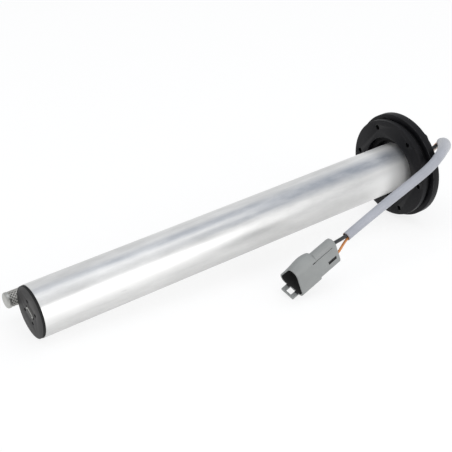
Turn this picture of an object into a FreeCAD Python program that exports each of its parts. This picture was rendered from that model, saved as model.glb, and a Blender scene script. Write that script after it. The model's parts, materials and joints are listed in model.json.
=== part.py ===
import FreeCAD, Part
import math
import os
import Sketcher

# Tank level sender: an aluminium tube with a float inside, a two-disc flange head,
# a suction pipe with a strainer beside the tube, and a sleeved lead with a 3-pin connector.
# Everything but the lead is drawn along the sender's own axis, from the end cap's outer
# face (0) up to the head, and then laid down as the object lies: on the flange's rim and
# on the tube's lower end. The near side of the lying sender is local +Y.

SHEET_NAME = "sizes"

SIZES = {
    # tube and end cap
    "tube_outer": 40.0,
    "tube_wall": 1.5,
    "tube_length": 344.0,
    "tube_vent": 4.0,
    "tube_vent_drop": 24.0,
    "tube_vent_turn": 220.0,
    "cap_outer": 39.3,
    "cap_rim": 2.0,
    "cap_spigot": 8.0,
    "cap_spigot_wall": 2.0,
    "cap_floor": 1.5,
    "cap_boss": 11.0,
    "vent_hole": 2.6,
    "vent_circle": 17.0,
    "vent_count": 4,
    "vent_turn": -11.0,
    "slot_length": 12.0,
    "slot_width": 1.7,
    "slot_depth": 0.8,
    "slot_turn": -56.0,
    # level sensing parts
    "clip_wire": 1.0,
    "clip_knuckle": 1.6,
    "clip_span": 8.0,
    "clip_leg": 12.0,
    "sense_wire": 0.5,
    "anchor_outer": 2.0,
    "anchor_height": 1.5,
    "rod_outer": 5.0,
    "rod_seat": 6.0,
    "bumper_outer": 18.0,
    "bumper_stand": 1.2,
    "float_outer": 32.0,
    "float_length": 45.0,
    "carrier_outer": 14.0,
    "carrier_flange": 18.0,
    "carrier_flange_thick": 2.0,
    "carrier_stand": 2.0,
    "carrier_wire_hole": 1.6,
    "retainer_outer": 18.0,
    "retainer_thick": 1.2,
    "contact_outer": 12.5,
    "contact_bore": 7.6,
    "contact_thick": 0.4,
    "stop_outer": 7.0,
    "stop_thick": 3.0,
    "stop_drop": 20.0,
    # flange head
    "flange_outer": 90.0,
    "flange_thick": 7.0,
    "flange_edge": 0.8,
    "spigot_length": 12.0,
    "spigot_wall": 3.0,
    "spigot_shoulder": 1.2,
    "board_thick": 1.6,
    "board_recess": 3.0,
    "rod_socket": 3.0,
    "gasket_outer": 79.0,
    "gasket_bore": 46.0,
    "gasket_thick": 4.0,
    "ring_outer": 84.0,
    "ring_bore": 54.0,
    "ring_thick": 4.6,
    "ring_edge": 0.4,
    "screw_circle": 72.0,
    "screw_count": 6,
    "screw_turn": -22.8,
    "screw_outer": 5.0,
    "screw_length": 14.0,
    "tap_core": 4.2,
    "screw_head": 8.5,
    "screw_head_height": 3.5,
    "screw_socket": 3.4,
    "screw_socket_depth": 2.0,
    "flange_hole": 5.5,
    "washer_outer": 10.0,
    "washer_thick": 1.0,
    "outlet_boss": 17.0,
    "outlet_boss_height": 8.0,
    "outlet_bore": 9.0,
    "outlet_offset": 9.0,
    "outlet_turn": 67.2,
    "grommet_bore": 6.4,
    "grommet_collar": 13.0,
    "grommet_collar_height": 2.5,
    # suction pipe and strainer
    "pipe_outer": 8.0,
    "pipe_wall": 1.0,
    "pipe_offset": 26.2,
    "pipe_turn": -91.5,
    "pipe_foot": 12.0,
    "pipe_stub": 16.0,
    "pipe_bead": 9.4,
    "pipe_bead_height": 1.5,
    "pipe_collar": 11.0,
    "collar_height": 9.0,
    "strainer_outer": 12.0,
    "strainer_wall": 0.6,
    "strainer_reach": 7.0,
    "strainer_cap_height": 4.0,
    "strainer_cap_floor": 1.0,
    "strainer_length": 40.0,
    "ferrule_height": 7.0,
    # lead
    "sleeve_outer": 7.6,
    "sleeve_bore": 6.6,
    "black_wire": 2.9,
    "thin_wire": 2.0,
    "bundle_offset": 1.45,
    # connector
    "plug_rear_length": 21.5,
    "plug_shroud_length": 20.0,
    "rear_apex_rise": 10.2,
    "rear_apex_radius": 4.4,
    "rear_base_half": 5.3,
    "rear_base_drop": 4.2,
    "rear_base_radius": 4.8,
    "rear_shift": -0.4,
    "shroud_apex_rise": 7.6,
    "shroud_apex_radius": 6.5,
    "shroud_base_half": 6.6,
    "shroud_base_drop": 5.0,
    "shroud_base_radius": 5.2,
    "shroud_shift": -1.3,
    "plug_wall": 1.3,
    "plug_mouth_depth": 18.0,
    "tongue_width": 12.0,
    "tongue_thick": 2.0,
    "tongue_reach": 6.0,
    "window_width": 5.4,
    "window_length": 5.2,
    "cavity_bore": 4.4,
    "cavity_depth": 14.0,
    "cavity_offset": 5.8,
    "cavity_rise": 1.2,
    "seal_stand": 0.6,
    "seal_length": 7.0,
    "pin_outer": 1.6,
    "pin_length": 29.0,
    "wedge_thick": 3.0,
    "wedge_gap": 0.3,
    "slit_length": 21.0,
    "slit_width": 0.7,
    "slit_depth": 0.8,
    "slit_rise": 15.0,
    "slit_start": 4.5,
    "slot_pocket_length": 8.5,
    "slot_pocket_width": 2.8,
    "slot_pocket_start": 3.0,
    "slot_pocket_depth": 1.1,
    "slot_pocket_rise": 4.4,
    # clearances
    "running_gap": 0.05,
    "loose_gap": 0.3,
}

# The lead's centre line where it lies, in millimetres, from the head to the connector.
BUNDLE_HEAD = [
    (150.9, -8.3, 47.7),
    (177.4, -8.3, 49.7),
    (188.3, -7.3, 52.2),
    (196.5, -7.2, 55.8),
]
SLEEVE_ROUTE = [
    (200.0, -9.6, 58.6),
    (200.5, -12.8, 59.8),
    (199.1, -17.5, 61.9),
    (191.4, -25.1, 63.8),
    (174.6, -39.5, 68.6),
    (159.0, -50.9, 71.4),
    (144.0, -54.8, 66.3),
    (121.0, -56.0, 57.9),
    (97.0, -57.5, 50.1),
    (75.0, -58.9, 42.3),
    (62.0, -60.0, 37.8),
    (51.2, -60.9, 34.0),
]
CONNECTOR_REAR = (35.8, -62.1, 28.2)
CONNECTOR_HEADING = (-0.935, -0.069, -0.348)
CONNECTOR_ROLL = -22.0
TAIL_STEPS = [(3.0, 1.0), (-4.5, 1.0), (-10.5, 0.45)]
ARC_SHARE = 0.45

doc = FreeCAD.newDocument("tank_level_sender")
sheet = doc.addObject("Spreadsheet::Sheet", SHEET_NAME)
for row, (alias, value) in enumerate(SIZES.items(), start=1):
    sheet.set("A%d" % row, alias)
    sheet.set("B%d" % row, str(value))
    sheet.setAlias("B%d" % row, alias)
doc.recompute()


def size(alias):
    """Value of one driving size."""
    return float(getattr(sheet, alias))


def cell(alias):
    """Expression text that reads one driving size."""
    return "%s.%s" % (SHEET_NAME, alias)


# Heights along the sender's axis, as expressions of the sizes.
TUBE_BORE = "(sizes.tube_outer - 2 * sizes.tube_wall)"
SEAT = "(sizes.cap_rim + sizes.tube_length)"
FLANGE_TOP = "(%s + sizes.flange_thick)" % SEAT
SPIGOT_END = "(%s - sizes.spigot_length)" % SEAT
BOARD_TOP = "(%s + sizes.board_recess)" % SPIGOT_END
BOARD_OUTER = "(%s - 2 * sizes.spigot_wall)" % TUBE_BORE
HEAD_BORE = "(%s - 2 * sizes.spigot_shoulder)" % BOARD_OUTER
GASKET_FOOT = "(%s - sizes.gasket_thick)" % SEAT
RING_FOOT = "(%s - sizes.ring_thick)" % GASKET_FOOT
CAP_FLOOR = "(sizes.cap_rim + sizes.cap_floor)"
CAP_TOP = "(sizes.cap_rim + sizes.cap_spigot)"
BUMPER_TOP = "(%s + sizes.bumper_stand)" % CAP_TOP
CARRIER_FOOT = "(%s + sizes.loose_gap)" % BUMPER_TOP
FLOAT_FOOT = "(%s + sizes.carrier_flange_thick)" % CARRIER_FOOT
FLOAT_TOP = "(%s + sizes.float_length)" % FLOAT_FOOT
RETAINER_TOP = "(%s + sizes.retainer_thick)" % FLOAT_TOP
CARRIER_TOP = "(%s + sizes.carrier_stand)" % RETAINER_TOP
CONTACT_TOP = "(%s + sizes.contact_thick)" % CARRIER_TOP
STOP_FOOT = "(%s - sizes.stop_drop)" % SEAT
PIPE_TOP = "(%s + sizes.collar_height + sizes.pipe_stub)" % FLANGE_TOP
STRAINER_TOP = "(sizes.strainer_length - sizes.strainer_reach)"
PIPE_X = "(sizes.pipe_offset * cos(sizes.pipe_turn * 1deg))"
PIPE_Y = "(sizes.pipe_offset * sin(sizes.pipe_turn * 1deg))"
OUTLET_X = "(sizes.outlet_offset * cos(sizes.outlet_turn * 1deg))"
OUTLET_Y = "(sizes.outlet_offset * sin(sizes.outlet_turn * 1deg))"
SCREW_X = "(sizes.screw_circle / 2 * cos(sizes.screw_turn * 1deg))"
SCREW_Y = "(sizes.screw_circle / 2 * sin(sizes.screw_turn * 1deg))"
CLIP_X = "(sizes.clip_span / 2 * cos(sizes.slot_turn * 1deg))"
CLIP_Y = "(sizes.clip_span / 2 * sin(sizes.slot_turn * 1deg))"


def lay_down():
    """Placement that lays the sender on its flange rim and its tube end."""
    rise = (size("flange_outer") - size("tube_outer")) / 2
    tilt = math.atan2(rise, size("tube_length"))
    seat = size("cap_rim") + size("tube_length")
    pipe_top = seat + size("flange_thick") + size("collar_height") + size("pipe_stub")
    pipe_x = size("pipe_offset") * math.cos(math.radians(size("pipe_turn")))
    far_end = pipe_top * math.cos(tilt) - (pipe_x - size("pipe_outer") / 2) * math.sin(tilt)
    strainer_x = pipe_x + size("strainer_outer") / 2
    near_end = -size("strainer_reach") * math.cos(tilt) - strainer_x * math.sin(tilt)
    turn = FreeCAD.Rotation(FreeCAD.Vector(0, 1, 0), 90 - math.degrees(tilt))
    turn = turn.multiply(FreeCAD.Rotation(FreeCAD.Vector(0, 0, 1), 180))
    height = size("tube_outer") / 2 * math.cos(tilt) - size("cap_rim") * math.sin(tilt)
    return FreeCAD.Placement(FreeCAD.Vector(-(far_end + near_end) / 2, 0, height), turn)


def connector_pose():
    """Placement of the connector: local Z runs from rear to mouth, local Y to its hump."""
    heading = FreeCAD.Vector(*CONNECTOR_HEADING).normalize()
    side = FreeCAD.Vector(0, 0, 1).cross(heading).normalize()
    upward = heading.cross(side)
    turn = FreeCAD.Rotation(side, upward, heading, "ZXY")
    turn = turn.multiply(FreeCAD.Rotation(FreeCAD.Vector(0, 0, 1), CONNECTOR_ROLL))
    return FreeCAD.Placement(FreeCAD.Vector(*CONNECTOR_REAR), turn)


LAY = lay_down()
PLUG = connector_pose()
pieces = {}


def finish_piece(piece, name, placement):
    """Name a finished piece, place it and note it for export."""
    piece.Label = name
    piece.Placement = placement
    pieces[name] = piece
    return piece


def rod(name, outer, length, foot="0", x="0", y="0"):
    """A Part::Cylinder along the axis, bound to the sizes."""
    item = doc.addObject("Part::Cylinder", name)
    item.setExpression("Radius", "%s / 2" % outer)
    item.setExpression("Height", length)
    item.setExpression("Placement.Base.x", x)
    item.setExpression("Placement.Base.y", y)
    item.setExpression("Placement.Base.z", foot)
    return item


def cut(name, base, tool):
    """A Part::Cut of two objects."""
    item = doc.addObject("Part::Cut", name)
    item.Base = base
    item.Tool = tool
    return item


def fuse(name, shapes):
    """A Part::MultiFuse of several objects."""
    item = doc.addObject("Part::MultiFuse", name)
    item.Shapes = shapes
    return item


def tube(name, outer, bore, length, foot="0", x="0", y="0"):
    """A plain round sleeve: one cylinder cut by a longer one."""
    shell = rod(name + "_outside", outer, length, foot, x, y)
    core = rod(name + "_core", bore, "(%s) + 2" % length, "(%s) - 1" % foot, x, y)
    return cut(name + "_solid", shell, core)


def origin_part(body, role):
    """Origin plane or axis of a body, found by its role."""
    for feature in body.Origin.OriginFeatures:
        if feature.Role == role:
            return feature
    raise ValueError(role)


def circle_sketch(body, name, height, circles):
    """Sketch on the body's XY plane, lifted to a height, with circles bound to the sizes."""
    sketch = body.newObject("Sketcher::SketchObject", name)
    sketch.AttachmentSupport = [(origin_part(body, "XY_Plane"), "")]
    sketch.MapMode = "FlatFace"
    sketch.setExpression("AttachmentOffset.Base.z", height)
    for index, (outer, x, y) in enumerate(circles):
        where = FreeCAD.Vector(1.0 + index, 1.0, 0)
        edge = sketch.addGeometry(Part.Circle(where, FreeCAD.Vector(0, 0, 1), 2.0 + index), False)
        if x == "0" and y == "0":
            sketch.addConstraint(Sketcher.Constraint("Coincident", edge, 3, -1, 1))
        else:
            for axis, text in (("DistanceX", x), ("DistanceY", y)):
                number = sketch.addConstraint(Sketcher.Constraint(axis, -1, 1, edge, 3, 1.0))
                sketch.renameConstraint(number, "%s_%d" % (axis, index))
                sketch.setExpression("Constraints.%s_%d" % (axis, index), text)
        number = sketch.addConstraint(Sketcher.Constraint("Diameter", edge, 4.0))
        sketch.renameConstraint(number, "across_%d" % index)
        sketch.setExpression("Constraints.across_%d" % index, outer)
    return sketch


def pad(body, name, sketch, length):
    """Pad a sketch away from the end cap."""
    feature = body.newObject("PartDesign::Pad", name)
    feature.Profile = sketch
    feature.setExpression("Length", length)
    sketch.Visibility = False
    body.Tip = feature
    doc.recompute()
    return feature


def pocket(body, name, sketch, length):
    """Cut a sketch from its plane towards the head."""
    feature = body.newObject("PartDesign::Pocket", name)
    feature.Profile = sketch
    feature.setExpression("Length", length)
    feature.Reversed = True
    sketch.Visibility = False
    body.Tip = feature
    doc.recompute()
    return feature


def around(body, name, feature, count):
    """Repeat a feature evenly about the sender's axis."""
    pattern = body.newObject("PartDesign::PolarPattern", name)
    pattern.Originals = [feature]
    pattern.Axis = (origin_part(body, "Z_Axis"), [""])
    pattern.Angle = 360
    pattern.setExpression("Occurrences", count)
    body.Tip = pattern
    doc.recompute()
    return pattern


def edges_at(shape, radius, height):
    """Names of the circular edges of one radius at one height."""
    names = []
    for number, edge in enumerate(shape.Edges, start=1):
        if isinstance(edge.Curve, Part.Circle):
            same_radius = abs(edge.Curve.Radius - radius) < 0.01
            same_height = abs(edge.Curve.Center.z - height) < 0.01
            if same_radius and same_height:
                names.append("Edge%d" % number)
    return names


def chamfer(body, name, base, radius, height, width):
    """Break one round edge of a body."""
    feature = body.newObject("PartDesign::Chamfer", name)
    feature.Base = (base, edges_at(base.Shape, radius, height))
    feature.setExpression("Size", width)
    body.Tip = feature
    doc.recompute()
    return feature


def build_end_cap():
    """Black end cap: rim disc, spigot, central boss, four drain holes and the clip's slot."""
    body = doc.addObject("PartDesign::Body", "end_cap_body")
    rim = circle_sketch(body, "cap_rim_sketch", "0", [(cell("cap_outer"), "0", "0")])
    pad(body, "cap_rim_pad", rim, cell("cap_rim"))
    floor = circle_sketch(body, "cap_floor_sketch", cell("cap_rim"), [(TUBE_BORE, "0", "0")])
    pad(body, "cap_floor_pad", floor, cell("cap_floor"))
    wall_bore = "(%s - 2 * sizes.cap_spigot_wall)" % TUBE_BORE
    wall = circle_sketch(body, "cap_wall_sketch", CAP_FLOOR,
                         [(TUBE_BORE, "0", "0"), (wall_bore, "0", "0")])
    pad(body, "cap_wall_pad", wall, "sizes.cap_spigot - sizes.cap_floor")
    boss = circle_sketch(body, "cap_boss_sketch", CAP_FLOOR, [(cell("cap_boss"), "0", "0")])
    pad(body, "cap_boss_pad", boss, "sizes.cap_spigot - sizes.cap_floor")
    seat = circle_sketch(body, "rod_seat_sketch", "%s - sizes.rod_seat" % CAP_TOP,
                         [(cell("rod_outer"), "0", "0")])
    pocket(body, "rod_seat_pocket", seat, "sizes.rod_seat + 1")
    vent_x = "sizes.vent_circle / 2 * cos(sizes.vent_turn * 1deg)"
    vent_y = "sizes.vent_circle / 2 * sin(sizes.vent_turn * 1deg)"
    vent = circle_sketch(body, "cap_vent_sketch", "-1", [(cell("vent_hole"), vent_x, vent_y)])
    first = pocket(body, "cap_vent_pocket", vent, "%s + 2" % CAP_FLOOR)
    around(body, "cap_vents", first, cell("vent_count"))
    return body


def slot_box():
    """The shallow slot across the cap's outer face."""
    box = doc.addObject("Part::Box", "cap_slot")
    box.setExpression("Length", "sizes.slot_length")
    box.setExpression("Width", "sizes.slot_width")
    box.setExpression("Height", "sizes.slot_depth + 1")
    box.setExpression("Placement.Base.x", "-sizes.slot_length / 2")
    box.setExpression("Placement.Base.y", "-sizes.slot_width / 2")
    box.setExpression("Placement.Base.z", "-1")
    return box


def turned_about_axis(name, shapes, angle):
    """Objects turned together about the sender's axis."""
    group = doc.addObject("Part::Compound", name)
    group.Links = shapes
    group.Placement = FreeCAD.Placement(FreeCAD.Vector(), FreeCAD.Vector(0, 0, 1), 0)
    group.setExpression("Placement.Rotation.Angle", "%s * 1deg" % angle)
    return group


def build_cap_and_clip():
    """End cap with slot and wire holes, and the bright wire clip that lies in the slot."""
    body = build_end_cap()
    half = "sizes.clip_span / 2"
    hole = "(sizes.clip_wire + 4 * sizes.running_gap)"
    drills = [slot_box()]
    for label, x in (("a", half), ("b", "-" + half)):
        drills.append(rod("clip_hole_" + label, hole, "%s + 2" % CAP_TOP, "-1", x))
    tool = turned_about_axis("cap_slot_tool", drills, cell("slot_turn"))
    finish_piece(cut("cap_cut", body, tool), "end_cap", LAY)

    bridge_height = "(sizes.slot_depth - sizes.clip_wire / 2)"
    legs = []
    for label, x in (("a", half), ("b", "-" + half)):
        leg_length = "sizes.clip_leg - %s" % bridge_height
        legs.append(rod("clip_leg_" + label, cell("clip_wire"), leg_length, bridge_height, x))
        knuckle = doc.addObject("Part::Sphere", "clip_knuckle_" + label)
        knuckle.setExpression("Radius", "sizes.clip_knuckle / 2")
        knuckle.setExpression("Placement.Base.x", x)
        knuckle.setExpression("Placement.Base.z", "sizes.slot_depth - sizes.clip_knuckle / 2")
        legs.append(knuckle)
    bridge = rod("clip_bridge", cell("clip_wire"), cell("clip_span"), bridge_height, "-" + half)
    bridge.Placement.Rotation = FreeCAD.Rotation(FreeCAD.Vector(0, 1, 0), 90)
    wire = fuse("clip_solid", legs + [bridge])
    clip = doc.addObject("Part::Compound", "clip_piece")
    clip.Links = [wire]
    wire.Placement = FreeCAD.Placement(FreeCAD.Vector(), FreeCAD.Vector(0, 0, 1), 0)
    wire.setExpression("Placement.Rotation.Angle", "sizes.slot_turn * 1deg")
    finish_piece(clip, "wire_clip", LAY)


def build_sensing():
    """Guide rod, resistance wires, stops and the sliding float with its carrier."""
    rod_foot = "(%s - sizes.rod_seat)" % CAP_TOP
    rod_length = "%s + sizes.rod_socket - %s" % (SEAT, rod_foot)
    rod_body = doc.addObject("PartDesign::Body", "rod_body")
    rod_end = circle_sketch(rod_body, "rod_sketch", rod_foot, [(cell("rod_outer"), "0", "0")])
    pad(rod_body, "rod_pad", rod_end, rod_length)
    finish_piece(rod_body, "guide_rod", LAY)

    wires = []
    for label, sign in (("a", ""), ("b", "-")):
        wire_length = "%s + sizes.anchor_height - sizes.clip_leg" % BOARD_TOP
        wires.append(rod("sense_wire_" + label, cell("sense_wire"), wire_length,
                         cell("clip_leg"), sign + CLIP_X, sign + CLIP_Y))
    finish_piece(fuse("sense_wires", wires), "resistance_wires", LAY)

    bumper = tube("bumper", cell("bumper_outer"), cell("cap_boss"),
                  "%s - %s" % (BUMPER_TOP, CAP_FLOOR), CAP_FLOOR)
    finish_piece(bumper, "lower_bumper", LAY)
    stop = tube("stop", cell("stop_outer"), cell("rod_outer"), cell("stop_thick"), STOP_FOOT)
    finish_piece(stop, "upper_stop", LAY)

    bore = "(sizes.rod_outer + 2 * sizes.running_gap)"
    barrel = rod("carrier_barrel", cell("carrier_outer"),
                 "%s - %s" % (CARRIER_TOP, CARRIER_FOOT), CARRIER_FOOT)
    flange = rod("carrier_foot", cell("carrier_flange"), cell("carrier_flange_thick"), CARRIER_FOOT)
    drills = [rod("carrier_bore", bore, "%s + 2" % CARRIER_TOP)]
    for label, sign in (("a", ""), ("b", "-")):
        drills.append(rod("carrier_wire_" + label, cell("carrier_wire_hole"),
                          "%s + 2" % CARRIER_TOP, "0", sign + CLIP_X, sign + CLIP_Y))
    carrier = cut("carrier_cut", fuse("carrier_blank", [barrel, flange]),
                  fuse("carrier_drills", drills))
    finish_piece(carrier, "float_carrier", LAY)

    body = doc.addObject("PartDesign::Body", "float_body")
    ring = circle_sketch(body, "float_sketch", FLOAT_FOOT,
                         [(cell("float_outer"), "0", "0"), (cell("carrier_outer"), "0", "0")])
    pad(body, "float_pad", ring, cell("float_length"))
    finish_piece(body, "float", LAY)

    retainer = tube("retainer", cell("retainer_outer"), cell("carrier_outer"),
                    cell("retainer_thick"), FLOAT_TOP)
    finish_piece(retainer, "float_retainer", LAY)

    notch = "(sizes.sense_wire + 4 * sizes.running_gap)"
    disc = rod("contact_disc", cell("contact_outer"), cell("contact_thick"), CARRIER_TOP)
    holes = [rod("contact_core", cell("contact_bore"), "%s + 2" % CONTACT_TOP)]
    for label, sign in (("a", ""), ("b", "-")):
        holes.append(rod("contact_notch_" + label, notch, "%s + 2" % CONTACT_TOP,
                         "0", sign + CLIP_X, sign + CLIP_Y))
    contact = cut("contact_cut", disc, fuse("contact_holes", holes))
    finish_piece(contact, "contact_spring", LAY)


def build_head():
    """Flange plate, gasket, clamp ring, screws and washers, board and outlet grommet."""
    hole = [(cell("flange_hole"), SCREW_X, SCREW_Y)]
    pipe_hole = (cell("pipe_outer"), PIPE_X, PIPE_Y)

    flange = doc.addObject("PartDesign::Body", "flange_body")
    disc = circle_sketch(flange, "flange_sketch", SEAT, [(cell("flange_outer"), "0", "0")])
    plate = pad(flange, "flange_pad", disc, cell("flange_thick"))
    edge_height = size("cap_rim") + size("tube_length") + size("flange_thick")
    chamfer(flange, "flange_edge_break", plate, size("flange_outer") / 2, edge_height,
            cell("flange_edge"))
    boss = circle_sketch(flange, "outlet_boss_sketch", FLANGE_TOP,
                         [(cell("outlet_boss"), OUTLET_X, OUTLET_Y)])
    pad(flange, "outlet_boss_pad", boss, cell("outlet_boss_height"))
    skirt = circle_sketch(flange, "spigot_sketch", SPIGOT_END,
                          [(TUBE_BORE, "0", "0"), (BOARD_OUTER, "0", "0")])
    pad(flange, "spigot_pad", skirt, "sizes.board_recess")
    neck = circle_sketch(flange, "spigot_neck_sketch", BOARD_TOP,
                         [(TUBE_BORE, "0", "0"), (HEAD_BORE, "0", "0")])
    pad(flange, "spigot_neck_pad", neck, "sizes.spigot_length - sizes.board_recess")
    socket = circle_sketch(flange, "rod_socket_sketch", SEAT, [(cell("rod_outer"), "0", "0")])
    pocket(flange, "rod_socket_pocket", socket, cell("rod_socket"))
    outlet = circle_sketch(flange, "outlet_sketch", SEAT,
                           [(cell("outlet_bore"), OUTLET_X, OUTLET_Y)])
    pocket(flange, "outlet_pocket", outlet, "sizes.flange_thick + sizes.outlet_boss_height + 1")
    pipe = circle_sketch(flange, "pipe_hole_sketch", "%s - 1" % SEAT, [pipe_hole])
    pocket(flange, "pipe_hole_pocket", pipe, "sizes.flange_thick + 2")
    screw = circle_sketch(flange, "screw_hole_sketch", "%s - 1" % SEAT, hole)
    first = pocket(flange, "screw_hole_pocket", screw, "sizes.flange_thick + 2")
    around(flange, "screw_holes", first, cell("screw_count"))
    finish_piece(flange, "flange_plate", LAY)

    gasket = doc.addObject("PartDesign::Body", "gasket_body")
    sheet_ring = circle_sketch(gasket, "gasket_sketch", GASKET_FOOT,
                               [(cell("gasket_outer"), "0", "0"), (cell("gasket_bore"), "0", "0")])
    pad(gasket, "gasket_pad", sheet_ring, cell("gasket_thick"))
    hole_edge = circle_sketch(gasket, "gasket_hole_sketch", "%s - 1" % GASKET_FOOT, hole)
    first = pocket(gasket, "gasket_hole_pocket", hole_edge, "sizes.gasket_thick + 2")
    around(gasket, "gasket_holes", first, cell("screw_count"))
    pipe_gap = "(sizes.pipe_outer + 2 * sizes.running_gap)"
    notch = circle_sketch(gasket, "gasket_pipe_sketch", "%s - 1" % GASKET_FOOT,
                          [(pipe_gap, PIPE_X, PIPE_Y)])
    pocket(gasket, "gasket_pipe_pocket", notch, "sizes.gasket_thick + 2")
    finish_piece(gasket, "flange_gasket", LAY)

    ring = doc.addObject("PartDesign::Body", "ring_body")
    ring_sketch = circle_sketch(ring, "ring_sketch", RING_FOOT,
                                [(cell("ring_outer"), "0", "0"), (cell("ring_bore"), "0", "0")])
    base = pad(ring, "ring_pad", ring_sketch, cell("ring_thick"))
    foot = size("cap_rim") + size("tube_length") - size("gasket_thick") - size("ring_thick")
    chamfer(ring, "ring_edge_break", base, size("ring_outer") / 2, foot, cell("ring_edge"))
    tapped = circle_sketch(ring, "ring_hole_sketch", "%s - 1" % RING_FOOT,
                           [(cell("tap_core"), SCREW_X, SCREW_Y)])
    first = pocket(ring, "ring_hole_pocket", tapped, "sizes.ring_thick + 2")
    around(ring, "ring_holes", first, cell("screw_count"))
    screw_end = "(%s + sizes.washer_thick - sizes.screw_length)" % FLANGE_TOP
    thread = circle_sketch(ring, "ring_thread_sketch", screw_end,
                           [("(sizes.screw_outer + 2 * sizes.running_gap)", SCREW_X, SCREW_Y)])
    first = pocket(ring, "ring_thread_pocket", thread, "sizes.ring_thick + 2")
    around(ring, "ring_threads", first, cell("screw_count"))
    pipe_notch = "(sizes.pipe_outer + 2)"
    notch = circle_sketch(ring, "ring_notch_sketch", "%s - 1" % RING_FOOT,
                          [(pipe_notch, PIPE_X, PIPE_Y)])
    pocket(ring, "ring_notch_pocket", notch, "sizes.ring_thick + 2")
    finish_piece(ring, "clamp_ring", LAY)

    washer_top = "(%s + sizes.washer_thick)" % FLANGE_TOP
    washers = []
    screws = []
    for number in range(int(size("screw_count"))):
        turn = "((sizes.screw_turn + %d * 360 / sizes.screw_count) * 1deg)" % number
        x = "sizes.screw_circle / 2 * cos(%s)" % turn
        y = "sizes.screw_circle / 2 * sin(%s)" % turn
        tag = str(number + 1)
        washers.append(tube("washer_" + tag, cell("washer_outer"), cell("flange_hole"),
                            cell("washer_thick"), FLANGE_TOP, x, y))
        shank = rod("shank_" + tag, cell("screw_outer"), "sizes.screw_length",
                    "%s - sizes.screw_length" % washer_top, x, y)
        head = rod("head_" + tag, cell("screw_head"), cell("screw_head_height"), washer_top, x, y)
        key = doc.addObject("Part::Prism", "key_" + tag)
        key.Polygon = 6
        key.setExpression("Circumradius", "sizes.screw_socket / 2")
        key.setExpression("Height", "sizes.screw_socket_depth + 1")
        key.setExpression("Placement.Base.x", x)
        key.setExpression("Placement.Base.y", y)
        key_foot = "%s + sizes.screw_head_height - sizes.screw_socket_depth" % washer_top
        key.setExpression("Placement.Base.z", key_foot)
        screws.append(cut("screw_" + tag, fuse("screw_blank_" + tag, [shank, head]), key))
    finish_piece(fuse("washers", washers), "screw_washers", LAY)
    finish_piece(fuse("screws", screws), "flange_screws", LAY)

    board = rod("board_disc", BOARD_OUTER, cell("board_thick"),
                "%s - sizes.board_thick" % BOARD_TOP)
    drills = [rod("board_rod_hole", "(sizes.rod_outer + 2 * sizes.running_gap)", SEAT)]
    for label, sign in (("a", ""), ("b", "-")):
        drills.append(rod("board_wire_" + label, "(sizes.sense_wire + 2 * sizes.running_gap)",
                          SEAT, "0", sign + CLIP_X, sign + CLIP_Y))
    finish_piece(cut("board_cut", board, fuse("board_drills", drills)), "terminal_board", LAY)
    anchors = []
    for label, sign in (("a", ""), ("b", "-")):
        anchors.append(tube("anchor_" + label, cell("anchor_outer"), cell("sense_wire"),
                            cell("anchor_height"), BOARD_TOP, sign + CLIP_X, sign + CLIP_Y))
    finish_piece(fuse("anchors", anchors), "wire_anchors", LAY)

    plug_length = "sizes.flange_thick + sizes.outlet_boss_height"
    plug = rod("grommet_plug", cell("outlet_bore"), plug_length, SEAT, OUTLET_X, OUTLET_Y)
    boss_top = "(%s + sizes.outlet_boss_height)" % FLANGE_TOP
    collar = rod("grommet_lip", cell("grommet_collar"), cell("grommet_collar_height"), boss_top,
                 OUTLET_X, OUTLET_Y)
    core = rod("grommet_core", cell("grommet_bore"), "%s + 20" % plug_length, "%s - 1" % SEAT,
               OUTLET_X, OUTLET_Y)
    grommet = cut("grommet_cut", fuse("grommet_blank", [plug, collar]), core)
    finish_piece(grommet, "wire_grommet", LAY)


def build_suction():
    """Suction pipe through the flange with its hose bead, its collar, and the strainer."""
    pipe_bore = "(sizes.pipe_outer - 2 * sizes.pipe_wall)"
    pipe_length = "(%s - sizes.pipe_foot)" % PIPE_TOP
    outside = rod("pipe_outside", cell("pipe_outer"), pipe_length, cell("pipe_foot"), PIPE_X, PIPE_Y)
    bead = rod("pipe_bead", cell("pipe_bead"), cell("pipe_bead_height"),
               "%s + sizes.collar_height" % FLANGE_TOP, PIPE_X, PIPE_Y)
    core = rod("pipe_core", pipe_bore, "%s + 2" % pipe_length, "sizes.pipe_foot - 1",
               PIPE_X, PIPE_Y)
    pipe = cut("pipe_cut", fuse("pipe_blank", [outside, bead]), core)
    finish_piece(pipe, "suction_pipe", LAY)

    collar = tube("pipe_collar", cell("pipe_collar"), cell("pipe_outer"),
                  cell("collar_height"), FLANGE_TOP, PIPE_X, PIPE_Y)
    finish_piece(collar, "pipe_collar", LAY)

    foot = "(-sizes.strainer_reach)"
    mesh_outer = "(sizes.strainer_outer - 0.6)"
    mesh = tube("mesh", mesh_outer, "(%s - 2 * sizes.strainer_wall)" % mesh_outer,
                "sizes.strainer_length - sizes.strainer_cap_floor",
                "%s + sizes.strainer_cap_floor" % foot, PIPE_X, PIPE_Y)
    finish_piece(mesh, "strainer_mesh", LAY)
    cup = rod("cup_outside", cell("strainer_outer"), cell("strainer_cap_height"), foot,
              PIPE_X, PIPE_Y)
    hollow = rod("cup_hollow", mesh_outer, cell("strainer_cap_height"),
                 "%s + sizes.strainer_cap_floor" % foot, PIPE_X, PIPE_Y)
    finish_piece(cut("cup_cut", cup, hollow), "strainer_end_cap", LAY)
    mesh_bore = "(%s - 2 * sizes.strainer_wall)" % mesh_outer
    ferrule = tube("ferrule", mesh_bore, cell("pipe_outer"), cell("ferrule_height"),
                   "%s - sizes.ferrule_height" % STRAINER_TOP, PIPE_X, PIPE_Y)
    finish_piece(ferrule, "strainer_ferrule", LAY)


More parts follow.
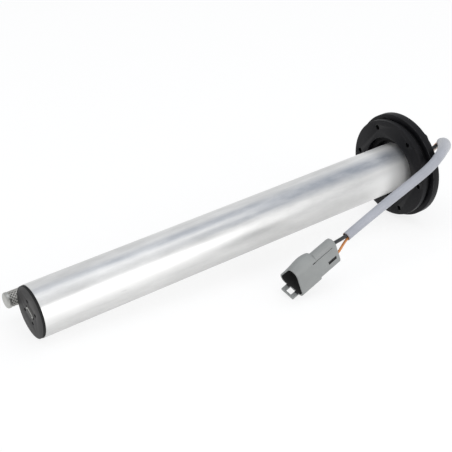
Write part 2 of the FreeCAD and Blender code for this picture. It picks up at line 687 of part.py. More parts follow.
def cord_path(points, label):
    """Straight runs joined by tangent arcs, as one wire; prints each arc's radius."""
    joints = []
    start = points[0]
    radii = []
    for before, corner, after in zip(points, points[1:], points[2:]):
        arrive = (corner - before).normalize()
        leave = (after - corner).normalize()
        half = arrive.getAngle(leave) / 2
        shorter = min((corner - before).Length, (after - corner).Length)
        reach = ARC_SHARE * shorter
        radii.append(reach / math.tan(half))
        first = corner - arrive * reach
        last = corner + leave * reach
        inward = (leave - arrive).normalize()
        depth = reach / math.tan(half) * (1 / math.cos(half) - 1)
        joints.append(Part.LineSegment(start, first).toShape())
        joints.append(Part.Arc(first, corner + inward * depth, last).toShape())
        start = last
    joints.append(Part.LineSegment(start, points[-1]).toShape())
    print(label, "radii", " ".join("%.1f" % radius for radius in radii))
    return Part.Wire(joints)


def sweep(path, outer):
    """Round solid along a wire."""
    first = path.Edges[0]
    start = first.Vertexes[0].Point
    heading = first.tangentAt(first.FirstParameter)
    ring = Part.Wire([Part.Circle(start, heading, outer / 2).toShape()])
    shape = path.makePipeShell([ring], True, False)
    expected = math.pi * outer ** 2 / 4 * path.Length
    print("  length %.1f volume %.3f of expected" % (path.Length, abs(shape.Volume) / expected))
    return shape


def beside(points, offset):
    """The same route shifted sideways by a vector that turns with the route."""
    shift = offset
    shifted = [points[0] + shift]
    for before, corner, after in zip(points, points[1:], points[2:]):
        arrive = (corner - before).normalize()
        leave = (after - corner).normalize()
        turned = FreeCAD.Rotation(arrive, leave).multVec(shift)
        slide = turned.dot(arrive) / (1 + arrive.dot(leave))
        shifted.append(corner + shift + arrive * slide)
        shift = turned
    shifted.append(points[-1] + shift)
    return shifted


def cavity_place(number):
    """Centre of one contact cavity in the connector's section."""
    angle = math.radians(90 + 120 * number)
    reach = size("cavity_offset")
    return reach * math.cos(angle), size("cavity_rise") + reach * math.sin(angle)


def build_lead():
    """Grey sleeve and the three wires inside it, from the board to the connector."""
    head = [FreeCAD.Vector(*point) for point in BUNDLE_HEAD]
    route = [FreeCAD.Vector(*point) for point in SLEEVE_ROUTE]
    path = cord_path(route, "sleeve")
    sleeve = doc.addObject("Part::Feature", "sleeve_solid")
    sleeve.Shape = sweep(path, size("sleeve_outer")).cut(sweep(path, size("sleeve_bore")))
    finish_piece(sleeve, "cable_sleeve", FreeCAD.Placement())

    bundle = list(reversed(head + route))
    heading = (bundle[1] - bundle[0]).normalize()
    wires = (("black_wire", "black_wire"), ("white_wire", "thin_wire"),
             ("orange_wire", "thin_wire"))
    for number, (name, thickness) in enumerate(wires):
        x, y = cavity_place(number)
        outward = PLUG.Rotation.multVec(FreeCAD.Vector(x, y - size("cavity_rise"), 0))
        outward = (outward - heading * outward.dot(heading)).normalize()
        points = []
        for depth, spread in TAIL_STEPS:
            points.append(PLUG.multVec(FreeCAD.Vector(x * spread, y * spread, depth)))
        points += beside(bundle, outward * size("bundle_offset"))
        wire = doc.addObject("Part::Feature", name + "_solid")
        wire.Shape = sweep(cord_path(points, name), size(thickness))
        finish_piece(wire, name, FreeCAD.Placement())


def section_circles(part):
    """Centres and radii of a connector section's corners: apex, far base, near base."""
    rise, half = size(part + "_apex_rise"), size(part + "_base_half")
    drop, corner = size(part + "_base_drop"), size(part + "_base_radius")
    return [(FreeCAD.Vector(0, rise, 0), size(part + "_apex_radius")),
            (FreeCAD.Vector(-half, -drop, 0), corner), (FreeCAD.Vector(half, -drop, 0), corner)]


def side_normal(first, second):
    """Angle of the outward normal of the line that touches two corner circles."""
    step = second[0] - first[0]
    lean = math.acos((first[1] - second[1]) / step.Length)
    return math.atan2(step.y, step.x) - lean


def section_sketch(body, name, height, part, inset="0"):
    """Connector section on the body's XY plane: a hump over a flat base, corners rounded."""
    sketch = body.newObject("Sketcher::SketchObject", name)
    sketch.AttachmentSupport = [(origin_part(body, "XY_Plane"), "")]
    sketch.MapMode = "FlatFace"
    sketch.setExpression("AttachmentOffset.Base.x", cell(part + "_shift"))
    sketch.setExpression("AttachmentOffset.Base.z", height)
    corners = section_circles(part)
    normals = []
    for number in range(3):
        normals.append(side_normal(corners[number], corners[(number + 1) % 3]))
    arcs = []
    for number, (centre, radius) in enumerate(corners):
        start, finish = normals[number - 1], normals[number]
        while finish < start:
            finish += 2 * math.pi
        circle = Part.Circle(centre, FreeCAD.Vector(0, 0, 1), radius)
        arcs.append(sketch.addGeometry(Part.ArcOfCircle(circle, start, finish), False))
    for number in range(3):
        following = (number + 1) % 3
        start = sketch.getPoint(arcs[number], 2)
        finish = sketch.getPoint(arcs[following], 1)
        line = sketch.addGeometry(Part.LineSegment(start, finish), False)
        sketch.addConstraint(Sketcher.Constraint("Tangent", arcs[number], 2, line, 1))
        sketch.addConstraint(Sketcher.Constraint("Tangent", line, 2, arcs[following], 1))
    sketch.addConstraint(Sketcher.Constraint("PointOnObject", arcs[0], 3, -2))
    places = [(0, "DistanceY", "%s_apex_rise"), (1, "DistanceX", "-sizes.%s_base_half"),
              (1, "DistanceY", "-sizes.%s_base_drop"), (2, "DistanceX", "%s_base_half"),
              (2, "DistanceY", "-sizes.%s_base_drop")]
    for number, axis, text in places:
        centre = corners[number][0]
        value = centre.x if axis == "DistanceX" else centre.y
        label = "%s_%d" % (axis, number)
        index = sketch.addConstraint(Sketcher.Constraint(axis, -1, 1, arcs[number], 3, value))
        sketch.renameConstraint(index, label)
        formula = text % part if text.startswith("-") else "sizes." + text % part
        sketch.setExpression("Constraints." + label, formula)
    sketch.addConstraint(Sketcher.Constraint("Equal", arcs[1], arcs[2]))
    for number, alias in ((0, "apex_radius"), (1, "base_radius")):
        index = sketch.addConstraint(
            Sketcher.Constraint("Radius", arcs[number], corners[number][1]))
        sketch.renameConstraint(index, alias)
        sketch.setExpression("Constraints." + alias, "sizes.%s_%s - %s" % (part, alias, inset))
    return sketch


def box(name, length, width, height, x, y, z):
    """A Part::Box bound to the sizes."""
    item = doc.addObject("Part::Box", name)
    item.setExpression("Length", length)
    item.setExpression("Width", width)
    item.setExpression("Height", height)
    item.setExpression("Placement.Base.x", x)
    item.setExpression("Placement.Base.y", y)
    item.setExpression("Placement.Base.z", z)
    return item


def side_marks():
    """The long slit and the short pocket along the connector's near side."""
    lean = side_normal(*reversed(section_circles("rear")[::2]))
    near = section_circles("rear")[2]
    foot = near[0] + FreeCAD.Vector(math.cos(lean), math.sin(lean), 0) * near[1]
    along = FreeCAD.Vector(-math.sin(lean), math.cos(lean), 0)
    marks = []
    for name in ("slit", "slot_pocket"):
        where = foot + along * size(name + "_rise") + FreeCAD.Vector(size("rear_shift"), 0, 0)
        depth, width = cell(name + "_depth"), cell(name + "_width")
        mark = box(name, "2 * " + depth, width, cell(name + "_length"), "-" + depth,
                   "-%s / 2" % width, cell(name + "_start"))
        turned = doc.addObject("Part::Compound", name + "_placed")
        turned.Links = [mark]
        turn = FreeCAD.Rotation(FreeCAD.Vector(0, 0, 1), math.degrees(lean))
        turned.Placement = FreeCAD.Placement(where, turn)
        marks.append(turned)
    return marks


def build_connector():
    """Three-pin connector: housing, wire seals, pins and the wedge that locks the pins."""
    shroud_foot = cell("plug_rear_length")
    length = "(sizes.plug_rear_length + sizes.plug_shroud_length)"
    mouth_floor = "(%s - sizes.plug_mouth_depth)" % length
    high = "(sizes.cavity_rise + sizes.cavity_offset)"
    low = "(sizes.cavity_rise - sizes.cavity_offset / 2)"
    wide = "(sizes.cavity_offset * cos(30deg))"
    places = [("0", high), ("-" + wide, low), (wide, low)]
    pin_gap = "(sizes.pin_outer + 2 * sizes.running_gap)"
    body = doc.addObject("PartDesign::Body", "housing_body")
    rear = section_sketch(body, "rear_sketch", "0", "rear")
    pad(body, "rear_pad", rear, "sizes.plug_rear_length")
    front = section_sketch(body, "shroud_sketch", shroud_foot, "shroud")
    pad(body, "shroud_pad", front, "sizes.plug_shroud_length")
    mouth = section_sketch(body, "mouth_sketch", mouth_floor, "shroud", cell("plug_wall"))
    pocket(body, "mouth_pocket", mouth, "sizes.plug_mouth_depth + 1")
    cavities = circle_sketch(body, "cavity_sketch", "-1",
                             [(cell("cavity_bore"), x, y) for x, y in places])
    pocket(body, "cavity_pocket", cavities, "sizes.cavity_depth + 1")
    pin_holes = circle_sketch(body, "pin_hole_sketch", "-1", [(pin_gap, x, y) for x, y in places])
    pocket(body, "pin_hole_pocket", pin_holes, "%s + 2" % length)

    base = "(sizes.shroud_base_drop + sizes.shroud_base_radius)"
    tongue_foot = "-%s - sizes.tongue_thick + sizes.plug_wall" % base
    tongue = box("tongue", cell("tongue_width"), cell("tongue_thick"),
                 "sizes.plug_shroud_length + sizes.tongue_reach", "-sizes.tongue_width / 2",
                 tongue_foot, shroud_foot)
    window = box("window", cell("window_width"), "sizes.tongue_thick + 4",
                 cell("window_length"), "-sizes.window_width / 2", "%s - 2" % tongue_foot,
                 "%s + sizes.tongue_reach - sizes.window_length - 1.2" % length)
    rail_drop = "(sizes.rear_base_drop + sizes.rear_base_radius)"
    rail = box("rail", "sizes.tongue_width - 2", "sizes.tongue_thick", "sizes.plug_rear_length",
               "-(sizes.tongue_width - 2) / 2", "-%s - sizes.tongue_thick + 0.6" % rail_drop, "0")
    blank = fuse("housing_blank", [body, tongue, rail])
    cutters = fuse("housing_cutters", [window] + side_marks())
    finish_piece(cut("housing_cut", blank, cutters), "connector_housing", PLUG)

    seals = []
    pins = []
    for number, (x, y) in enumerate(places):
        wire = cell("black_wire") if number == 0 else cell("thin_wire")
        seals.append(tube("seal_%d" % number, cell("cavity_bore"), wire,
                          "sizes.seal_length + sizes.seal_stand", "-sizes.seal_stand", x, y))
        pins.append(rod("pin_%d" % number, cell("pin_outer"), cell("pin_length"),
                        "3", x, y))
    finish_piece(fuse("seals", seals), "wire_seals", PLUG)
    finish_piece(fuse("pins", pins), "terminal_pins", PLUG)

    wedge_body = doc.addObject("PartDesign::Body", "wedge_body")
    outline = section_sketch(wedge_body, "wedge_sketch", mouth_floor, "shroud",
                             "(sizes.plug_wall + sizes.wedge_gap)")
    pad(wedge_body, "wedge_pad", outline, cell("wedge_thick"))
    holes = circle_sketch(wedge_body, "wedge_hole_sketch", "%s - 1" % mouth_floor,
                          [(pin_gap, x, y) for x, y in places])
    pocket(wedge_body, "wedge_hole_pocket", holes, "sizes.wedge_thick + 2")
    finish_piece(wedge_body, "wedge_lock", PLUG)


def build_outer_tube():
    """Outer tube, drilled for the air vent on the hidden side."""
    shell = tube("tube", cell("tube_outer"), TUBE_BORE, cell("tube_length"), cell("cap_rim"))
    drill = rod("vent_drill", cell("tube_vent"), "sizes.tube_outer",
                "%s - sizes.tube_vent_drop" % SEAT)
    drill.Placement.Rotation = FreeCAD.Rotation(FreeCAD.Vector(0, 1, 0), 90)
    turned = turned_about_axis("vent_tool", [drill], cell("tube_vent_turn"))
    finish_piece(cut("tube_cut", shell, turned), "outer_tube", LAY)


def check_document():
    """Stop if any object failed or any piece is not sound."""
    for item in doc.Objects:
        if "Invalid" in item.State or "Error" in item.State:
            raise RuntimeError("%s is %s" % (item.Name, item.State))
    for name, piece in pieces.items():
        shape = piece.Shape
        if shape.isNull() or not shape.isValid() or not shape.Solids:
            raise RuntimeError("%s has no sound shape" % name)


def export_pieces():
    """Write every piece to its own file."""
    os.makedirs("parts", exist_ok=True)
    for name, piece in pieces.items():
        piece.Shape.exportStep(os.path.join("parts", name + ".step"))


build_outer_tube()
build_cap_and_clip()
build_sensing()
build_head()
build_suction()
build_lead()
build_connector()
doc.recompute()
check_document()
export_pieces()
for name, piece in pieces.items():
    print("%-20s solids %d volume %10.1f" % (name, len(piece.Shape.Solids), piece.Shape.Volume))
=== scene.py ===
"""Looks of a lying tank level sender: finishes for every solid, the lead and the wire cloth."""

import json
import logging
import math
from dataclasses import dataclass
from enum import Enum
from typing import Callable, Dict, List, Optional, Sequence, Tuple, Union

import bmesh
import bpy
from mathutils import Matrix, Quaternion, Vector


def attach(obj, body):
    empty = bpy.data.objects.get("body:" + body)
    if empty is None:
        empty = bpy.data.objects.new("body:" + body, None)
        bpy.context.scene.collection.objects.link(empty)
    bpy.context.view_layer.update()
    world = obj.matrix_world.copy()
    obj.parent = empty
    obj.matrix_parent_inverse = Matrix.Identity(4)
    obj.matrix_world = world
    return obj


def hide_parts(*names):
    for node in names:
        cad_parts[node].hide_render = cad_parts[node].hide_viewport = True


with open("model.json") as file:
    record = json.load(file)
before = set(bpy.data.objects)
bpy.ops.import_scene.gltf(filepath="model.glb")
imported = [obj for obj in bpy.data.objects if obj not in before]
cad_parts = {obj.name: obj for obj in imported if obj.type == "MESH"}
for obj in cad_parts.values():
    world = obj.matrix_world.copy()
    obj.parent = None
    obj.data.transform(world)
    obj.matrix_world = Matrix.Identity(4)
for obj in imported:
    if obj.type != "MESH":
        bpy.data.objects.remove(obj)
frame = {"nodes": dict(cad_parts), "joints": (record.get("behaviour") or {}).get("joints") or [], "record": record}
LOG = logging.getLogger("tank_level_sender")
MM = 0.001
PER_METRE = 1000.0
WELD = 0.00001
FINE_WELD = 0.000001
FLAT_ANGLE = math.radians(2)
SHARP_ANGLE = math.radians(40)
SENDER = "sender"
Colour = Tuple[float, float, float]
Span = Tuple[float, float]
Triple = Tuple[float, float, float]
Number = Union[float, "Field"]


def part_way(value: float, low: float, high: float) -> float:
    """Part of the way from low to high, kept between 0 and 1."""
    return min(1.0, max(0.0, (value - low) / (high - low)))


def toned(colour: Colour, times: float) -> Colour:
    """A colour made darker or lighter, with no part above 1."""
    return tuple(min(1.0, part * times) for part in colour)


class Field:
    """A number that changes over a surface: one shader socket that takes part in sums."""

    def __init__(self, graph: "Graph", socket: bpy.types.NodeSocket) -> None:
        """Keep the socket and the graph that its sums go into."""
        self.graph = graph
        self.socket = socket

    def __add__(self, other: Number) -> "Field":
        """This value plus another."""
        return self.graph.maths("ADD", self, other)

    def __mul__(self, other: Number) -> "Field":
        """This value times another."""
        return self.graph.maths("MULTIPLY", self, other)

    def __sub__(self, other: Number) -> "Field":
        """This value less another."""
        return self.graph.maths("SUBTRACT", self, other)


class Graph:
    """The node tree of one material or of the world."""

    MIX_INPUTS = (0, 6, 7)
    MIX_RESULT = 2

    def __init__(self, tree: bpy.types.NodeTree) -> None:
        """Start with an empty tree.

        Args:
            tree: the node tree to fill.
        """
        self.tree = tree
        self.tree.nodes.clear()

    def node(self, kind: str, settings: Optional[Dict[str, object]] = None,
             sockets: Optional[Dict[object, object]] = None) -> bpy.types.Node:
        """Add a node of one type.

        Args:
            kind: the node's type name.
            settings: attributes that are set first; "stops" fills a colour ramp.
            sockets: input name or number to a value, a Field or a socket.

        Returns:
            The new node.
        """
        made = self.tree.nodes.new(kind)
        for name, value in (settings or {}).items():
            if name == "stops":
                self._fill_ramp(made.color_ramp, value)
            else:
                setattr(made, name, value)
        for name, value in (sockets or {}).items():
            self._feed(made.inputs[name], value)
        return made

    def _feed(self, target: bpy.types.NodeSocket, value: object) -> None:
        """Link a value to an input, or set the input to it."""
        if isinstance(value, Field):
            value = value.socket
        if isinstance(value, bpy.types.NodeSocket):
            self.tree.links.new(value, target)
        elif target.type == "RGBA":
            target.default_value = (*value, 1.0)
        else:
            target.default_value = value

    @staticmethod
    def _fill_ramp(ramp: bpy.types.ColorRamp, stops: Sequence[Tuple[float, Colour]]) -> None:
        """Set a ramp's stops, given as places and colours."""
        while len(ramp.elements) < len(stops):
            ramp.elements.new(0.5)
        for element, (place, colour) in zip(ramp.elements, stops):
            element.position = place
            element.color = (*colour, 1.0)

    def maths(self, operation: str, *values: Number) -> Field:
        """Add a Math node and return its value."""
        made = self.node("ShaderNodeMath", {"operation": operation}, dict(enumerate(values)))
        return Field(self, made.outputs[0])

    def clamp(self, value: Number, low: float, high: float, out_low: float = 0.0,
              out_high: float = 1.0) -> Field:
        """Map a value from one range to another and keep it inside.

        Args:
            value: what is mapped.
            low: value that gives out_low.
            high: value that gives out_high.
            out_low: result at low.
            out_high: result at high.

        Returns:
            The mapped value.
        """
        made = self.node("ShaderNodeMapRange", {"clamp": True},
                         {0: value, 1: low, 2: high, 3: out_low, 4: out_high})
        return Field(self, made.outputs[0])

    def mix(self, share: Number, first: object, second: object) -> bpy.types.NodeSocket:
        """Blend two colours.

        Args:
            share: 0 gives the first colour and 1 the second.
            first: colour or socket.
            second: colour or socket.

        Returns:
            The blended colour's socket.
        """
        made = self.node("ShaderNodeMix", {"data_type": "RGBA"},
                         dict(zip(self.MIX_INPUTS, (share, first, second))))
        return made.outputs[self.MIX_RESULT]

    def place(self, turn: Triple = (0, 0, 0),
              stretch: Triple = (1, 1, 1)) -> bpy.types.NodeSocket:
        """Object coordinates, turned and stretched by one Mapping node."""
        source = self.node("ShaderNodeTexCoord").outputs["Object"]
        made = self.node("ShaderNodeMapping", {"vector_type": "POINT"},
                         {"Vector": source, "Rotation": turn, "Scale": stretch})
        return made.outputs["Vector"]

    def noise(self, vector: object, scale: float, detail: float = 4.0,
              roughness: float = 0.55) -> Field:
        """Soft random pattern from 0 to 1."""
        made = self.node("ShaderNodeTexNoise", {"noise_dimensions": "3D"},
                         {"Vector": vector, "Scale": scale, "Detail": detail,
                          "Roughness": roughness})
        return Field(self, made.outputs[0])

    def parts(self, vector: object) -> Tuple[Field, Field, Field]:
        """The three numbers of a vector."""
        made = self.node("ShaderNodeSeparateXYZ", {}, {"Vector": vector})
        return tuple(Field(self, made.outputs[number]) for number in range(3))

    def bump(self, height: Field, strength: float, distance: float) -> bpy.types.NodeSocket:
        """Surface relief from a height pattern."""
        made = self.node("ShaderNodeBump", {},
                         {"Strength": strength, "Distance": distance, "Height": height})
        return made.outputs["Normal"]


def lay_turn() -> float:
    """Angle in radians between the sender's own axis and the floor."""
    slide = frame["joints"][0]["axis"]
    return math.atan2(slide[2], slide[0])


@dataclass(frozen=True)
class Finish:
    """A finish that is nearly even, with fine grain and slow changes of tone.

    Fields: colour, how much the tone varies and over how many millimetres, roughness and
    its spread, metal share, grain size in millimetres with its relief, clear coat, and the
    strength of the plain reflection.
    """

    name: str
    colour: Colour
    tone: float = 0.15
    tone_size: float = 14.0
    rough: float = 0.5
    rough_spread: float = 0.08
    metal: float = 0.0
    grain: float = 0.5
    relief: float = 0.15
    coat: float = 0.0
    sheen_level: float = 0.5

    TONE_DETAIL = 3.0
    TONE_SPAN = (0.3, 0.7)
    GRAIN_DETAIL = 2.0
    GRAIN_HEIGHT = 0.3
    GRAIN_IN_ROUGH = 0.4
    ROUGH_SPAN = (0.4, 1.0)

    def rough_limits(self) -> Span:
        """Least and greatest roughness."""
        return self.rough - self.rough_spread, self.rough + self.rough_spread

    def surface(self, graph: Graph) -> Dict[str, object]:
        """Values and links of the shader's sockets.

        Args:
            graph: the material's graph.

        Returns:
            Socket name to value or link.
        """
        place = graph.place()
        slow = graph.noise(place, PER_METRE / self.tone_size, self.TONE_DETAIL)
        fine = graph.noise(place, PER_METRE / self.grain, self.GRAIN_DETAIL)
        return {
            "Base Color": graph.mix(graph.clamp(slow, *self.TONE_SPAN),
                                    toned(self.colour, 1 - self.tone),
                                    toned(self.colour, 1 + self.tone)),
            "Roughness": graph.clamp(slow + fine * self.GRAIN_IN_ROUGH, *self.ROUGH_SPAN,
                                     *self.rough_limits()),
            "Normal": graph.bump(fine, self.relief, self.grain * MM * self.GRAIN_HEIGHT),
            "Metallic": self.metal,
            "Coat Weight": self.coat,
            "Specular IOR Level": self.sheen_level,
        }

    def material(self) -> bpy.types.Material:
        """Build the Blender material.

        Returns:
            The finished material.
        """
        made = bpy.data.materials.new(self.name)
        made.use_nodes = True
        graph = Graph(made.node_tree)
        shader = graph.node("ShaderNodeBsdfPrincipled", {}, self.surface(graph))
        graph.node("ShaderNodeOutputMaterial", {}, {"Surface": shader.outputs[0]})
        return made


@dataclass(frozen=True)
class Pattern:
    """Noise drawn out along the sender's axis: its stretch, scale, detail, roughness, skew."""

    stretch: float
    scale: float
    detail: float
    rough: float = 0.55
    skew: Span = (0.0, 0.0)

    def values(self, graph: Graph) -> Field:
        """The pattern's values, from 0 to 1."""
        turn = (self.skew[0], lay_turn(), self.skew[1])
        at = graph.place(turn, (self.stretch, 1.0, 1.0))
        return graph.noise(at, self.scale, self.detail, self.rough)


@dataclass(frozen=True)
class ReflectionStreak:
    """A soft band of painted reflection along the tube, at an angle about it, with a half width, in degrees.

    Each change gives a start and an end along the sender in millimetres and a depth at
    either, and the band's depth is their product.
    """

    middle: float
    half: float
    changes: Tuple[Tuple[float, float, float, float], ...]


@dataclass(frozen=True)
class DrawnTube(Finish):
    """Drawn aluminium: long fine lines, cloudy oxide and a few short scuffs, with painted reflections as dull
    streaks, a painted highlight along the front, painted light near the head and painted shade below.
    """

    line_length: float = 40.0
    line_width: float = 0.35
    # colour of the painted reflections: dull bluish streaks where the tube mirrors darker surroundings
    reflection_streak: Colour = (0.30, 0.325, 0.375)
    # colour of the painted highlight along the front and of the painted light near the head
    painted_light: Colour = (0.97, 0.965, 0.95)

    LINE_DETAIL = 2.0
    LINE_ROUGHNESS = 0.5
    LINE_HEIGHT = 0.6
    LINES_IN_ROUGH = 0.4
    CLOUDS = Pattern(0.25, 70.0, 5.0, 0.65)
    CLOUD_SPAN = (0.35, 0.65)
    CLOUD_TONE = 0.8
    CLOUDS_IN_ROUGH = 0.6
    TUBE_ROUGH_SPAN = (0.3, 0.7)
    SCUFFS = Pattern(0.3, 260.0, 5.0, 0.65, (0.4, 0.3))
    SCUFF_SPAN = (0.66, 0.72)
    SCUFF_SHARE = 0.2
    SCUFF_HEIGHT = -0.3
    RELIEF_DEPTH = 0.00003
    # darker tone of both the real scuffs and the painted shade on the underside
    SCUFF_AND_SHADE_TONE = 0.6
    WANDER = Pattern(0.12, 60.0, 4.0)
    WANDER_DEGREES = 14.0
    PATCHES = Pattern(0.35, 110.0, 5.0, 0.6)
    PATCH_SPAN = (0.38, 0.6, 0.7, 1.0)
    # painted reflections: bands at an angle about the tube, fading in and out along it
    REFLECTION_STREAKS = (
        ReflectionStreak(19.5, 9.0, ((20.0, 70.0, 0.4, 0.65), (190.0, 240.0, 1.0, 0.0))),
        ReflectionStreak(40.0, 7.0, ((90.0, 170.0, 0.0, 0.6),)),
        ReflectionStreak(30.0, 19.0, ((140.0, 240.0, 0.0, 0.9),)))
    STREAK_EDGE = (0.3, 1.4)
    FRONT_TOP = (50.0, 60.0)
    FRONT_FOOT = (80.0, 98.0)
    FRONT_END = (100.0, 200.0)
    HEAD_START = (290.0, 320.0)
    BELOW_TOP = (95.0, 140.0)
    BELOW_CLIMB = 0.15
    BELOW_SHARE = 0.4
    BELOW_END = (280.0, 310.0)

    def lay(self, graph: Graph) -> Tuple[Field, Field]:
        """Distance along the sender in mm and angle about it in degrees, a little uneven."""
        lean, level = math.sin(Sender.tilt), math.cos(Sender.tilt)
        along, across, rise = graph.parts(graph.place((0.0, lay_turn(), 0.0),
                                                      (PER_METRE,) * 3))
        along = along - (Sender.start * level + Sender.height() * lean)
        rise = rise - (Sender.height() * level - Sender.start * lean)
        turn = graph.maths("ARCTAN2", across * -1, rise) * math.degrees(1)
        return along, turn + (self.WANDER.values(graph) - 0.5) * self.WANDER_DEGREES

    def painted_reflections(self, graph: Graph, along: Field, turn: Field) -> Field:
        """Painted reflections: dull bluish streaks along the upper side, that join and deepen towards the head.

        Args:
            graph: the material's graph.
            along: distance along the sender in millimetres.
            turn: angle about the sender in degrees.

        Returns:
            How much of the streaks' colour shows.
        """
        inner, outer = self.STREAK_EDGE
        joined: Number = 0.0
        for reflection_streak in self.REFLECTION_STREAKS:
            away = graph.maths("ABSOLUTE", turn - reflection_streak.middle)
            band = graph.clamp(away, inner * reflection_streak.half, outer * reflection_streak.half, 1.0, 0.0)
            for change in reflection_streak.changes:
                band = band * graph.clamp(along, *change)
            joined = graph.maths("MAXIMUM", joined, band)
        return joined * graph.clamp(self.PATCHES.values(graph), *self.PATCH_SPAN)

    def painted_light_and_shade(self, graph: Graph, base: bpy.types.NodeSocket) -> bpy.types.NodeSocket:
        """Painted highlight along the front, painted light near the head, painted shade below and painted
        reflections as streaks on top.

        Args:
            graph: the material's graph.
            base: the metal's colour.

        Returns:
            The colour with its age.
        """
        along, turn = self.lay(graph)
        # painted highlight: a bright band along the front side, fading out towards the head
        front = graph.clamp(turn, *self.FRONT_TOP)
        front = front * graph.clamp(turn, *self.FRONT_FOOT, 1.0, 0.0)
        front = front * graph.clamp(along, *self.FRONT_END, 1.0, 0.0)
        # painted light near the head, laid over the shade of the clamp ring
        near_head = graph.clamp(along, *self.HEAD_START)
        base = graph.mix(graph.maths("MAXIMUM", front, near_head), base, self.painted_light)
        # painted shade: darker on the underside, reaching higher towards the head
        below = graph.clamp(turn + along * self.BELOW_CLIMB, *self.BELOW_TOP,
                            0.0, self.BELOW_SHARE)
        below = below * graph.clamp(along, *self.BELOW_END, 1.0, 0.0)
        base = graph.mix(below, base, toned(self.colour, self.SCUFF_AND_SHADE_TONE))
        # painted reflections: dull bluish streaks over the upper side
        return graph.mix(self.painted_reflections(graph, along, turn), base, self.reflection_streak)

    def surface(self, graph: Graph) -> Dict[str, object]:
        """Long lines follow the sender's own axis."""
        lines_at = graph.place((0.0, lay_turn(), 0.0), (
            1 / self.line_length, 1 / self.line_width, 1 / self.line_width))
        lines = graph.noise(lines_at, PER_METRE, self.LINE_DETAIL, self.LINE_ROUGHNESS)
        cloud = self.CLOUDS.values(graph)
        scuff = graph.clamp(self.SCUFFS.values(graph), *self.SCUFF_SPAN)
        base = graph.mix(graph.clamp(cloud, *self.CLOUD_SPAN),
                         toned(self.colour, self.CLOUD_TONE), self.colour)
        scuffed = graph.mix(scuff * self.SCUFF_SHARE, self.painted_light_and_shade(graph, base),
                            toned(self.colour, self.SCUFF_AND_SHADE_TONE))
        uneven = cloud * self.CLOUDS_IN_ROUGH + lines * self.LINES_IN_ROUGH
        height = lines * self.LINE_HEIGHT + scuff * self.SCUFF_HEIGHT
        return {
            "Base Color": scuffed,
            "Roughness": graph.clamp(uneven, *self.TUBE_ROUGH_SPAN, *self.rough_limits()),
            "Normal": graph.bump(height, self.relief, self.RELIEF_DEPTH),
            "Metallic": self.metal,
        }


@dataclass(frozen=True)
class CapFace(Finish):
    """Moulded black plastic with a faint brown-green stain round the clip's slot."""

    stain: Colour = (0.06, 0.058, 0.048)
    stain_radius: float = 7.0
    stain_depth: float = 0.6

    def surface(self, graph: Graph) -> Dict[str, object]:
        """The stain fades with the distance from the slot's middle."""
        made = super().surface(graph)
        middle = Sender.point(0.0, 0.0, 0.0)
        near = graph.node("ShaderNodeVectorMath", {"operation": "DISTANCE"},
                          {0: graph.place(), 1: middle})
        share = graph.clamp(Field(graph, near.outputs["Value"]), 0.0,
                            self.stain_radius * MM, self.stain_depth, 0.0)
        made["Base Color"] = graph.mix(share, made["Base Color"], self.stain)
        return made


@dataclass(frozen=True)
class WornBlack(Finish):
    """Black coated metal whose edges are rubbed lighter."""

    worn: Colour = (0.28, 0.28, 0.28)
    edge_width: float = 0.4

    EDGE_SAMPLES = 4
    EDGE_SPAN = (0.995, 0.9)
    WEAR_SCALE = 300.0
    WEAR_SPAN = (0.35, 0.7)

    def surface(self, graph: Graph) -> Dict[str, object]:
        """Edges are found with a Bevel node and broken up by noise."""
        made = super().surface(graph)
        soft = graph.node("ShaderNodeBevel", {"samples": self.EDGE_SAMPLES},
                          {"Radius": self.edge_width * MM})
        flat = graph.node("ShaderNodeNewGeometry").outputs["Normal"]
        agree = graph.node("ShaderNodeVectorMath", {"operation": "DOT_PRODUCT"},
                           {0: soft.outputs[0], 1: flat})
        edge = graph.clamp(Field(graph, agree.outputs["Value"]), *self.EDGE_SPAN)
        broken = graph.clamp(graph.noise(graph.place(), self.WEAR_SCALE), *self.WEAR_SPAN)
        made["Base Color"] = graph.mix(edge * broken, made["Base Color"], self.worn)
        return made


